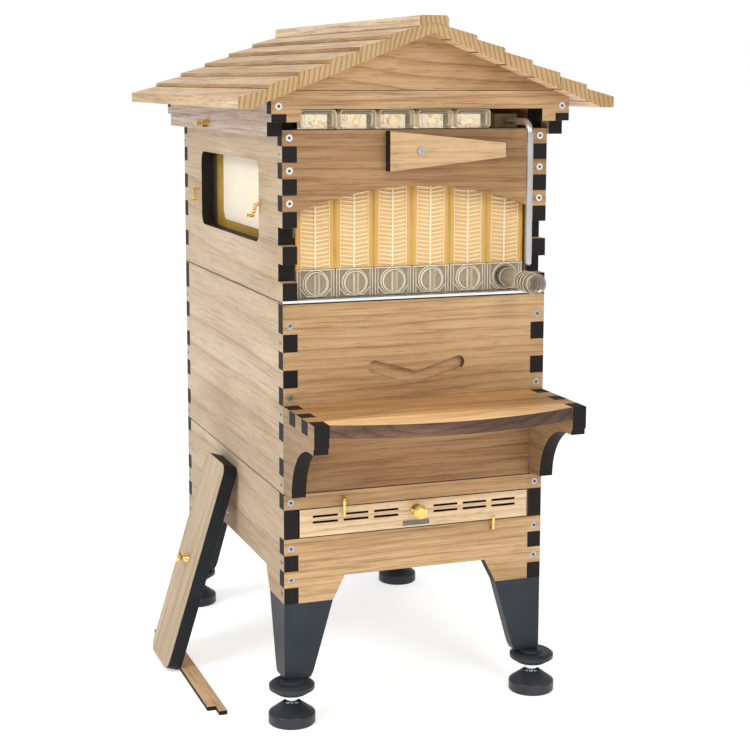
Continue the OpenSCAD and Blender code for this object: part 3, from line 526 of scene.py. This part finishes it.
def dress_handles():
    """Hand holds cut in the brood panels: painted light on their slanting floors, and painted shade on
    their upper and end walls.
    """
    hold_reach = 80 * MM
    low, high = BROOD_LOW + 30 * MM, BROOD_TOP - 30 * MM
    for node, side in (("brood_panel_rear", -1), ("brood_panel_front", 1)):
        repaint(node, wood(node + "_hold", LIT_HOLD_WOOD, 0, 75.0, fibre=0.5),
                lambda centre, normal: (abs(centre.x) < hold_reach and normal.y * side > 0.3
                                        and HALF_LENGTH - abs(centre.y) > MM))
        # Painted shade on the hold's upper and end walls
        repaint(node, wood(node + "_hold_wall_shade", DARK_STAIN_AND_SHADE_WOOD, 0, 77.0),
                lambda centre, normal: (abs(centre.x) < hold_reach and abs(normal.y) < 0.3
                                        and (normal.z < -0.5 or abs(normal.x) > 0.6)
                                        and low < centre.z < high))


def dress_shelf():
    """The shelf with its darker bowed edge, and its two brackets."""
    # Painted light on the shelf's outer strip, away from the wall
    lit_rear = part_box("shelf_board")[0].y + 52 * MM
    for node, shift in (("bracket_left", 41.0), ("bracket_right", 43.0)):
        dress(node, wood(node + "_timber", BRACKET_WOOD, 1, shift))
        repaint(node, BLACK, lambda centre, normal: abs(normal.x) < 0.5)
    dress("shelf_board", wood("shelf_timber", SHELF_WOOD, 0, 59.0, lit_rear=lit_rear))
    repaint("shelf_board", BLACK, lambda centre, normal: abs(normal.x) > 0.7 and abs(centre.x) > INNER_X)
    repaint("shelf_board", wood("shelf_edge", DARK_STAIN_AND_SHADE_WOOD, 0, 71.0, roughness=0.62, ring=34.0, swirl=4.0,
                                fibre=0.7, late=2.4),
            lambda centre, normal: normal.y < -0.5 and abs(centre.x) < INNER_X)


def dress_roof():
    """Weatherboards, gables with their fascias, rails, cleats, inner cover and roof screws."""
    eave_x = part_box("roof_boards_right")[1].x - 5 * MM
    for node, tones, shift, slope in (("roof_boards_left", ROOF_WOOD, 3.0, -9),
                                      ("roof_boards_right", ROOF_WOOD, 8.0, 14),
                                      ("ridge_cap", RIDGE_WOOD, 14.0, 8)):
        # The roof boards get painted shadow lines under their steps
        steps = ROOF_STEPS if tones is ROOF_WOOD else None
        dress(node, wood(node + "_timber", tones, 1, shift, steps=steps))
        if tones is ROOF_WOOD:
            # Painted shade: the risers of the steps get a darker copy of the roof timber
            repaint(node, wood(node + "_riser_shade", SHADED_RISER_WOOD, 1, shift + 4),
                    lambda centre, normal: abs(normal.x) > 0.9)
        repaint(node, wood(node + "_eave", LIGHT_WOOD, 1, shift + 6),
                lambda centre, normal: abs(centre.x) > eave_x)
        repaint(node, end_grain(node + "_ends", (0.53, 0.355, 0.175), (0.330, 0.205, 0.092), slope),
                lambda centre, normal: abs(normal.y) > 0.7)
    dress("roof_gables", wood("gable_timber", GABLE_WOOD, 0, 53.0, ring=13.0, swirl=4.0, fibre=0.35,
                               late=1.7))
    fascia_top = PANEL_TOP + 48 * MM
    # Painted shade line at the gap between the fascia and the gable board above it
    repaint("roof_gables", wood("fascia_timber", FASCIA_WOOD, 0, 57.0, fibre=0.8, seam_shade=(fascia_top,)),
            lambda centre, normal: centre.z < fascia_top)
    repaint("roof_gables", BLACK, outer_ends(0, HALF_WIDTH - 20 * MM))
    dress("roof_rails", wood("rail_timber", RAIL_WOOD_AND_SHEEN, 1, 47.0))
    repaint("roof_rails", BLACK, outer_ends(1, ROOF_END - BOARD))
    dress("roof_cleats", wood("cleat_timber", LIGHT_WOOD, 0, 5.0))
    dress("inner_cover", wood("inner_cover_timber", LIGHT_WOOD, 1, 9.0))
    dress("roof_screws", SCREW_STEEL)
    # Painted shade in the recess of each roof screw
    repaint("roof_screws", SHADE, lambda centre, normal: abs(centre.y) < ROOF_END - RECESS)
    repaint("roof_screws", BRASS, lambda centre, normal: abs(centre.y) < HALF_LENGTH - 60 * MM)


def dress_screws():
    """Screw heads stay bright, and the recess in each is painted dark as shade."""
    for node, steel in (("stand_screws", STAND_STEEL), ("honey_screws", SCREW_STEEL)):
        dress(node, steel)
        repaint(node, SHADE, lambda centre, normal: (HALF_LENGTH - abs(centre.y) > RECESS
                                                     and HALF_WIDTH - abs(centre.x) > RECESS))
    repaint("stand_screws", SCREW_STEEL, lambda centre, normal: centre.x < -HALF_WIDTH)
    latch_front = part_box("latch_board")[0].y
    repaint("honey_screws", STEEL, lambda centre, normal: centre.y < latch_front)


def dress_feet():
    """Black legs, collars and foot pads; the feet's stems are plated."""
    dress("legs", LEG_BLACK)
    dress("ant_guards", FOOT_BLACK)
    stem_reach = 9.5 * MM
    socket = 21.5 * MM
    for node in ("foot_rear_left", "foot_rear_right", "foot_front_left", "foot_front_right"):
        low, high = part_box(node)
        axis = (low + high) / 2
        dress(node, FOOT_BLACK)
        repaint(node, CHROME, lambda centre, normal: centre.z > socket and math.hypot(
            centre.x - axis.x, centre.y - axis.y) < stem_reach)


def dress_tray():
    """The tray's board, pan, knob, bar and hooks."""
    low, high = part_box("tray_front")
    # Painted shade lines at the gaps above and below the tray's board
    dress("tray_front", wood("tray_timber", LIGHT_WOOD, 0, 67.0, fibre=0.5, seam_shade=(low.z, high.z)))
    repaint("tray_front", BLACK, lambda centre, normal: centre.y > low.y + MM and abs(normal.y) < 0.5)
    dress("tray_pan", GALVANISED)
    dress("tray_fittings", BRASS)
    repaint("tray_fittings", BAR_STEEL, lambda centre, normal: centre.y > low.y)
    for node in ("tray_hook_left", "tray_hook_right"):
        dress(node, BRASS)


def dress_inside():
    """The landing board, the key, the panes and what is inside the boxes."""
    dress("landing_board", wood("landing_timber", END_WOOD, 0, 31.0))
    dress("brood_frames", wood("frame_timber", LIGHT_WOOD, 1, 17.0))
    dress("foundation_sheets", WAX)
    dress("floor_mesh", GALVANISED)
    # The excluder's rim gets a line of painted shade where it rests on the brood box
    dress("queen_excluder", metal("excluder_rim", (0.74, 0.76, 0.80), (0.90, 0.91, 0.93), 0.12,
                                  levels=(BROOD_TOP,)))
    # Painted shade line on the excluder's side, at the gap above the brood box
    rim = wood("excluder_side", SIDE_WOOD_AND_SHEEN, 1, 15.0, seam_shade=(BROOD_TOP + 1.6 * MM,))
    repaint("queen_excluder", rim, lambda centre, normal: abs(normal.x) > 0.5 and abs(centre.x) > INNER_X)
    dress("window_panes", PANE)
    dress("harvest_key", STEEL)


def dress_clear():
    """Clear plastic: broad faces nearly see-through, more solid at grazing angles; on the honey tube,
    painted highlight on the ribs' crests and mouth, and painted shade on the ribs' flanks.
    """
    for node in ("frame_troughs", "tube_caps"):
        dress(node, CLEAR)
    dress("honey_tube", TUBE_CLEAR)
    dress("key_caps", CAP_CLEAR)
    rib_start = TROUGH[0].y - 50 * MM
    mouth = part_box("honey_tube")[0].y + 7 * MM
    rib_low, rib_high = 11.2 * MM, 12.5 * MM

    def radius(centre):
        return math.hypot(centre.x - FRAME_X[-1], centre.z - CHANNEL_Z)

    # Painted shade on the flanks of the tube's ribs
    repaint("honey_tube", RING_EDGE_SHADE,
            lambda centre, normal: centre.y < rib_start and rib_low < radius(centre) < rib_high)
    # Painted highlight on the crests of the tube's ribs and on its mouth
    repaint("honey_tube", TUBE_RIM_HIGHLIGHT,
            lambda centre, normal: radius(centre) >= rib_high and centre.y < rib_start or centre.y < mouth)


def dress_combs():
    """Gold comb bodies; sockets above them, of which the one in use is dark inside."""
    dress("combs", HONEY)
    comb_top = PANEL_TOP - 3.5 * MM
    socket_end = COMBS[0].y + 26 * MM
    key_side = FRAME_X[-1] - FRAME_PITCH / 2
    # Painted shade: the combs' sides get a darker gold
    repaint("combs", GOLD_SHADE, lambda centre, normal: abs(normal.x) > 0.7 and centre.z < comb_top)
    # The sockets behind the caps get painted highlights and shade, and glow
    repaint("combs", GLINTS, lambda centre, normal: centre.z > comb_top and centre.y < socket_end)
    repaint("combs", OLIVE, lambda centre, normal: (centre.z > comb_top and centre.y < socket_end
                                                    and centre.x > key_side))


def dress_covers():
    """The window covers: grain along their length, black edges, brass knobs, and the loose strip."""
    lean = math.radians(17.0)
    face = Vector((-math.cos(lean), 0, math.sin(lean)))
    dress("left_cover", wood("cover_timber", SIDE_WOOD_AND_SHEEN, 2, 23.0, turn=(0, -lean, 0), ring=10.0, swirl=1.4,
                             late=0.9, pore=0.3))
    repaint("left_cover", EDGE_BLACK, lambda centre, normal: abs(normal.dot(face)) < 0.9)
    dress("right_cover", wood("right_cover_timber", SIDE_WOOD_AND_SHEEN, 1, 27.0))
    repaint("right_cover", BLACK, lambda centre, normal: abs(normal.x) < 0.7)
    for node in ("left_cover_knob", "right_cover_knob"):
        dress(node, BRASS)
    dress("cover_strip", wood("strip_timber", STRIP_WOOD, 1, 37.0))
    repaint("cover_strip", BLACK, lambda centre, normal: abs(normal.z) < 0.5)
    dress("latch_board", wood("latch_timber", LATCH_WOOD, 0, 61.0, fibre=0.4))
    repaint("latch_board", BLACK, lambda centre, normal: abs(normal.x) > 0.6)


# ---- pieces modelled here ----

def piece_from(name, mesh_data, materials, body, smooth=False):
    """Wraps a bmesh as a piece that rides on a body."""
    mesh = bpy.data.meshes.new(name)
    mesh_data.normal_update()
    mesh_data.to_mesh(mesh)
    mesh_data.free()
    for material in materials:
        mesh.materials.append(material)
    for face in mesh.polygons:
        face.use_smooth = smooth
    piece = bpy.data.objects.new(name, mesh)
    bpy.context.collection.objects.link(piece)
    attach(piece, body)
    return piece


def round_edges(piece, width):
    """Rounds all edges of a piece modelled here."""
    edge = piece.modifiers.new("edge", "BEVEL")
    edge.width = width
    edge.segments = 2


def add_bar(mesh, start, end, width, depth, index=0):
    """A bar from start to end, of a width in the X-Z plane and a depth along -Y from their y."""
    along = (end - start).normalized()
    side = along.cross(BACK).normalized() * width / 2
    corners = [mesh.verts.new(point + shift + BACK * level)
               for level in (0, depth) for point, shift in
               ((start, -side), (end, -side), (end, side), (start, side))]
    for loop in ((0, 3, 2, 1), (4, 5, 6, 7), (0, 1, 5, 4), (1, 2, 6, 5), (2, 3, 7, 6), (3, 0, 4, 7)):
        mesh.faces.new([corners[i] for i in loop]).material_index = index


def add_loop(mesh, outline, width, rear, depth, index=0):
    """A closed flat band along an outline of (x, z) points, its width inwards, its depth along -Y."""
    total = len(outline)
    centre = Vector((sum(x for x, z in outline) / total, 0, sum(z for x, z in outline) / total))
    rows = []
    for shrink, y in ((0, rear), (0, rear - depth), (width, rear - depth), (width, rear)):
        row = []
        for x, z in outline:
            arm = Vector((x, 0, z)) - centre
            arm *= (arm.length - shrink) / arm.length
            row.append(mesh.verts.new((centre.x + arm.x, y, centre.z + arm.z)))
        rows.append(row)
    for level in range(4):
        low, high = rows[level], rows[(level + 1) % 4]
        for i in range(total):
            face = mesh.faces.new((low[i], low[(i + 1) % total], high[(i + 1) % total], high[i]))
            face.material_index = index


def rounded_outline(half_a, half_b, radius, steps=8):
    """Points of a rounded rectangle about the origin, anticlockwise."""
    points = []
    for quarter, (sa, sb) in enumerate(((1, 1), (-1, 1), (-1, -1), (1, -1))):
        for step in range(steps + 1):
            angle = math.radians(90 * (quarter + step / steps))
            points.append((sa * (half_a - radius) + radius * math.cos(angle),
                           sb * (half_b - radius) + radius * math.sin(angle)))
    return points


def circle_outline(radius, steps=40):
    """Points of a circle about the origin, anticlockwise."""
    return [(radius * math.cos(math.tau * i / steps), radius * math.sin(math.tau * i / steps))
            for i in range(steps)]


def placed(outline, x, z):
    """An outline moved to a centre."""
    return [(x + a, z + b) for a, b in outline]


def comb_faces():
    """Rear end of each comb: border strips, a spine, and ribs that rise from it to both sides."""
    low = TROUGH[1].z
    top = PANEL_TOP - 4 * MM
    rear = COMBS[0].y + 3 * MM
    rib_step, rib_rise = 5.3 * MM, 2.5 * MM
    spine, rib_end = 1.0 * MM, 18.4 * MM
    materials = [RIB_CREAM, AMBER, PEACH]
    # Upright strips on both sides: distance from the spine, width, depth and material
    strips = ((21.4, 4.8, 2.2, 2), (18.6, 0.9, 2.6, 0), (24.75, 2.0, 2.6, 1))
    for number, centre in enumerate(FRAME_X):
        mesh = bmesh.new()
        for side in (-1, 1):
            for reach, width, depth, index in strips:
                x = centre + side * reach * MM
                add_bar(mesh, Vector((x, rear, low)), Vector((x, rear, top)), width * MM, depth * MM, index)
        add_bar(mesh, Vector((centre, rear, low)), Vector((centre, rear, top)), 2.2 * MM, 2.4 * MM)
        for row in range(int((top - low) / rib_step) - 1):
            z = low + (row + 0.6) * rib_step
            for side in (-1, 1):
                start = Vector((centre + side * spine, rear, z))
                end = Vector((centre + side * rib_end, rear, z + rib_rise))
                add_bar(mesh, start, end, 1.6 * MM, 2.0 * MM)
        piece = piece_from(f"comb_face_{number + 1}", mesh, materials, "honey_box")
        round_edges(piece, 0.5 * MM)


def comb_sides():
    """Cream side of the outer combs with a rounded border, seen through the windows."""
    low_z = TROUGH[1].z + 36 * MM
    high_z = COMBS[1].z - 34 * MM
    far_y = 112 * MM
    near_y = COMBS[0].y + 4 * MM
    middle = ((near_y + far_y) / 2, (low_z + high_z) / 2)
    outline = rounded_outline((far_y - near_y) / 2, (high_z - low_z) / 2, 16 * MM)
    # How far each ring of the border stands out, and its share of the outline's size
    border = ((0, 1.0), (1.8 * MM, 0.998), (2.4 * MM, 0.985), (2.4 * MM, 0.95))
    for name, side, x in (("left", -1, FRAME_X[0] - FRAME_PITCH / 2 + 1.6 * MM),
                          ("right", 1, FRAME_X[-1] + FRAME_PITCH / 2 - 1.6 * MM)):
        mesh = bmesh.new()
        rings = [[mesh.verts.new((x + side * rise, middle[0] + y * share, middle[1] + z * share))
                  for y, z in outline]
                 for rise, share in border]
        total = len(outline)
        for inner, outer in zip(rings, rings[1:]):
            for i in range(total):
                mesh.faces.new((inner[i], inner[(i + 1) % total], outer[(i + 1) % total], outer[i]))
        mesh.faces.new(rings[-1])
        mesh.faces.new(rings[0][::-1])
        bmesh.ops.recalc_face_normals(mesh, faces=mesh.faces)
        piece_from(f"comb_side_{name}", mesh, [CREAM], "honey_box")


def trough_fronts():
    """Lips, corner ribs and the socket ring on the rear face of each trough."""
    rear = TROUGH[0].y
    low, high = TROUGH[0].z, TROUGH[1].z
    half = FRAME_PITCH / 2 - 1.2 * MM
    floor_half, floor_z = 12 * MM, low + 2 * MM
    lip_z = high - 1.0 * MM
    mesh = bmesh.new()
    for x in FRAME_X:
        for side in (-1, 1):
            for inset, width in ((0.6, 1.0), (4.2, 0.8)):
                edge = x + side * (half - inset * MM)
                add_bar(mesh, Vector((edge, rear, low + MM)), Vector((edge, rear, high - MM)),
                        width * MM, 1.4 * MM)
            add_bar(mesh, Vector((x + side * (half - 4 * MM), rear, low + 12 * MM)),
                    Vector((x + side * floor_half, rear, floor_z)), 1.2 * MM, 1.8 * MM)
        add_bar(mesh, Vector((x - half, rear, lip_z)), Vector((x + half, rear, lip_z)), 1.2 * MM, 2.2 * MM)
        add_bar(mesh, Vector((x - floor_half, rear, floor_z)), Vector((x + floor_half, rear, floor_z)),
                1.2 * MM, 1.8 * MM)
        add_loop(mesh, placed(circle_outline(17.2 * MM), x, CHANNEL_Z), 1.2 * MM, rear, 2.0 * MM)
    # The lips and rings carry painted highlight
    piece = piece_from("trough_lips", mesh, [CLEAR_EDGE_HIGHLIGHT], "honey_box")
    round_edges(piece, 0.3 * MM)


def stopper_rings():
    """Raised rim round each stopper's flange, and the edges of its grip."""
    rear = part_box("tube_caps")[0].y + 6 * MM
    grip_x, grip_half = 2.9 * MM, 12.6 * MM
    mesh = bmesh.new()
    for x in FRAME_X[:-1]:
        add_loop(mesh, placed(circle_outline(15 * MM), x, CHANNEL_Z), 1.5 * MM, rear, 1.6 * MM)
        for side in (-1, 1):
            edge = x + side * grip_x
            add_bar(mesh, Vector((edge, rear, CHANNEL_Z - grip_half)),
                    Vector((edge, rear, CHANNEL_Z + grip_half)), 0.7 * MM, 5.6 * MM)
    # The stopper rims carry painted highlight
    piece = piece_from("stopper_rims", mesh, [CLEAR_EDGE_HIGHLIGHT], "tube_caps")
    round_edges(piece, 0.3 * MM)


def tube_rings():
    """Painted highlight on the crest and painted shadow on the shoulders of each rib on the honey tube, its
    mouth and its inner end.
    """
    inner_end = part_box("honey_tube")[0].y + 98 * MM
    # Distance of each ring from the tube's inner end, and its radius, in mm
    rings = [(60.5 + 8 * rib, 13.3) for rib in range(4)] + [(96.6, 13.3), (12, 11.8)]
    mesh = bmesh.new()
    for run, radius in rings:
        level = inner_end - run * MM
        crest = placed(circle_outline(radius * MM), FRAME_X[-1], CHANNEL_Z)
        shoulder = placed(circle_outline((radius - 0.5) * MM), FRAME_X[-1], CHANNEL_Z)
        add_loop(mesh, crest, 0.9 * MM, level + 0.5 * MM, 1.0 * MM)
        for side in (-1, 1):
            add_loop(mesh, shoulder, 0.6 * MM, level + (side * 1.5 + 0.4) * MM, 0.8 * MM, 1)
    piece_from("tube_ring_lines", mesh, [CLEAR_EDGE_HIGHLIGHT, RING_DARK], "honey_tube")


def cap_rims():
    """Moulded outlines on the rear face of each key cap."""
    low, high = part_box("key_caps")
    half_z = (high.z - low.z) / 2
    middle = (high.z + low.z) / 2
    half_x = (high.x - low.x - (FRAME_COUNT - 2) * FRAME_PITCH) / 2
    mesh = bmesh.new()
    for x in FRAME_X[:-1]:
        for inset, width, corner in ((0.2, 1.1, 4.0), (5.0, 0.7, 3.0)):
            outline = rounded_outline(half_x - inset * MM, half_z - inset * 0.75 * MM, corner * MM, 5)
            add_loop(mesh, placed(outline, x, middle), width * MM, low.y + 0.8 * MM, 1.0 * MM)
    # The cap outlines carry painted highlight
    piece_from("key_cap_rims", mesh, [CLEAR_EDGE_HIGHLIGHT], "key_caps")


def twisted_hooks():
    """Twisted brass rod for each window hook: out of the wall, down its arm, and out again."""
    rod = 2.1 * MM
    half = 2.0 * MM
    foot = 8 * MM
    bend = 2.5 * MM
    step = 1.0 * MM
    turn_length = 6.0 * MM
    embedded = 3 * MM
    for number in range(1, 5):
        node = f"window_hook_{number}"
        low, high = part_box(node)
        outward = Vector((-1 if high.x < 0 else 1, 0, 0))
        toward = 1 if number in (1, 3) else -1
        pin_y, end_y = (low.y + rod, high.y - rod) if toward > 0 else (high.y - rod, low.y + rod)
        tip = Vector((outward.x * (max(abs(low.x), abs(high.x)) - rod), end_y, low.z + rod))
        heel = tip - outward * foot
        pin = Vector((outward.x * HALF_WIDTH, pin_y, high.z - rod))
        elbow = pin + outward * (abs(heel.x) - HALF_WIDTH)
        corners = [pin - outward * embedded, elbow, heel, tip]
        twisted_rod(node + "_rod", rounded_path(corners, bend, step), half, turn_length, node)


def rounded_path(corners, bend, step):
    """Points along straight runs between corners, each inner corner rounded off by `bend`."""
    path = []
    start = corners[0]
    for i in range(1, len(corners)):
        corner = corners[i]
        into = (corner - corners[i - 1]).normalized()
        last = i == len(corners) - 1
        stop = corner if last else corner - into * bend
        count = max(int((stop - start).length / step), 1)
        path += [start.lerp(stop, k / count) for k in range(count)]
        if last:
            path.append(stop)
            break
        out = (corners[i + 1] - corner).normalized()
        start = corner + out * bend
        path += [stop.lerp(corner, k / 4).lerp(corner.lerp(start, k / 4), k / 4) for k in range(4)]
    return path


def twisted_rod(name, path, half, turn_length, node):
    """A square rod along a path, turned a quarter about its own axis for each turn_length."""
    aside = Vector((0.31, 0.83, 0.46))  # along none of the path's runs
    mesh = bmesh.new()
    rows = []
    run = 0.0
    for i, point in enumerate(path):
        ahead = path[min(i + 1, len(path) - 1)] - path[max(i - 1, 0)]
        ahead.normalize()
        across = ahead.cross(aside).normalized()
        upward = ahead.cross(across)
        run += (point - path[i - 1]).length if i else 0.0
        angle = math.tau * run / turn_length / 4
        row = []
        for corner in range(8):
            turn = angle + math.tau * corner / 8
            reach = half * (1.18 if corner % 2 else 0.86)
            row.append(mesh.verts.new(point + across * reach * math.cos(turn)
                                      + upward * reach * math.sin(turn)))
        rows.append(row)
    for low, high in zip(rows, rows[1:]):
        for i in range(8):
            mesh.faces.new((low[i], low[(i + 1) % 8], high[(i + 1) % 8], high[i]))
    mesh.faces.new(rows[0][::-1])
    mesh.faces.new(rows[-1])
    bmesh.ops.recalc_face_normals(mesh, faces=mesh.faces)
    piece = piece_from(name, mesh, [BRASS], node)
    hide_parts(node)


# ---- stage, light and camera ----

def build_stage():
    """A wide sheet of white paper that glows slightly."""
    bpy.ops.mesh.primitive_plane_add(size=60, location=(0, 0, 0))
    floor = bpy.context.object
    floor.name = "floor"
    material, _, shader = new_material("floor_paper", 0.9)
    shader.inputs["Base Color"].default_value = (0.96, 0.96, 0.96, 1)
    shader.inputs["Specular IOR Level"].default_value = 0.2
    shader.inputs["Emission Color"].default_value = (1, 1, 1, 1)
    shader.inputs["Emission Strength"].default_value = 0.51
    floor.data.materials.append(material)


def area_light(name, place, target, size, power, colour=(1, 1, 1)):
    """A rectangular light at a place, turned towards a target."""
    data = bpy.data.lights.new(name, "AREA")
    data.shape = "RECTANGLE"
    data.size, data.size_y = size
    data.energy = power
    data.color = colour
    light = bpy.data.objects.new(name, data)
    light.location = place
    light.rotation_euler = (Vector(target) - Vector(place)).to_track_quat("-Z", "Y").to_euler()
    bpy.context.collection.objects.link(light)


def build_light():
    """A white backdrop, a softer ambient light, and large lights from the left and from the front."""
    bpy.context.scene.view_settings.view_transform = "Standard"
    world = bpy.data.worlds.new("studio")
    bpy.context.scene.world = world
    world.use_nodes = True
    tree = world.node_tree
    background = tree.nodes["Background"]
    background.inputs["Color"].default_value = (1, 1, 1, 1)
    path = tree.nodes.new("ShaderNodeLightPath")
    strength = spread(tree, path.outputs["Is Camera Ray"], AMBIENT, 1.0)
    tree.links.new(strength, background.inputs["Strength"])
    area_light("key", (-2.6, -1.2, 2.4), (0, 0, 0.45), (1.4, 1.4), 44)
    area_light("front", (0.5, -3.2, 2.5), (0, 0, 0.5), (1.4, 1.4), 36, (1, 0.985, 0.96))


def build_camera():
    """The camera stands behind the harvest side, a little to the left and above."""
    yaw, pitch, roll = (math.radians(angle) for angle in (20.08, 7.75, 0.15))
    ahead = Vector((math.sin(yaw) * math.cos(pitch), math.cos(yaw) * math.cos(pitch), -math.sin(pitch)))
    right = Vector((math.cos(yaw), -math.sin(yaw), 0))
    above = right.cross(ahead)
    right, above = (right * math.cos(roll) + above * math.sin(roll),
                    above * math.cos(roll) - right * math.sin(roll))
    data = bpy.data.cameras.new("camera")
    data.sensor_width = 36
    data.lens = 77.3
    data.shift_y = -0.1
    camera = bpy.data.objects.new("camera", data)
    turn = Matrix((right, above, -ahead)).transposed().to_4x4()
    camera.matrix_world = Matrix.Translation((-0.744, -2.133, 0.810)) @ turn
    bpy.context.collection.objects.link(camera)
    bpy.context.scene.camera = camera


build_camera()
build_stage()
build_light()
dress_boards()
dress_handles()
dress_shelf()
dress_roof()
dress_screws()
dress_feet()
dress_tray()
dress_inside()
dress_clear()
dress_combs()
dress_covers()
soften_all()
comb_faces()
comb_sides()
trough_fronts()
stopper_rings()
tube_rings()
cap_rims()
twisted_hooks()
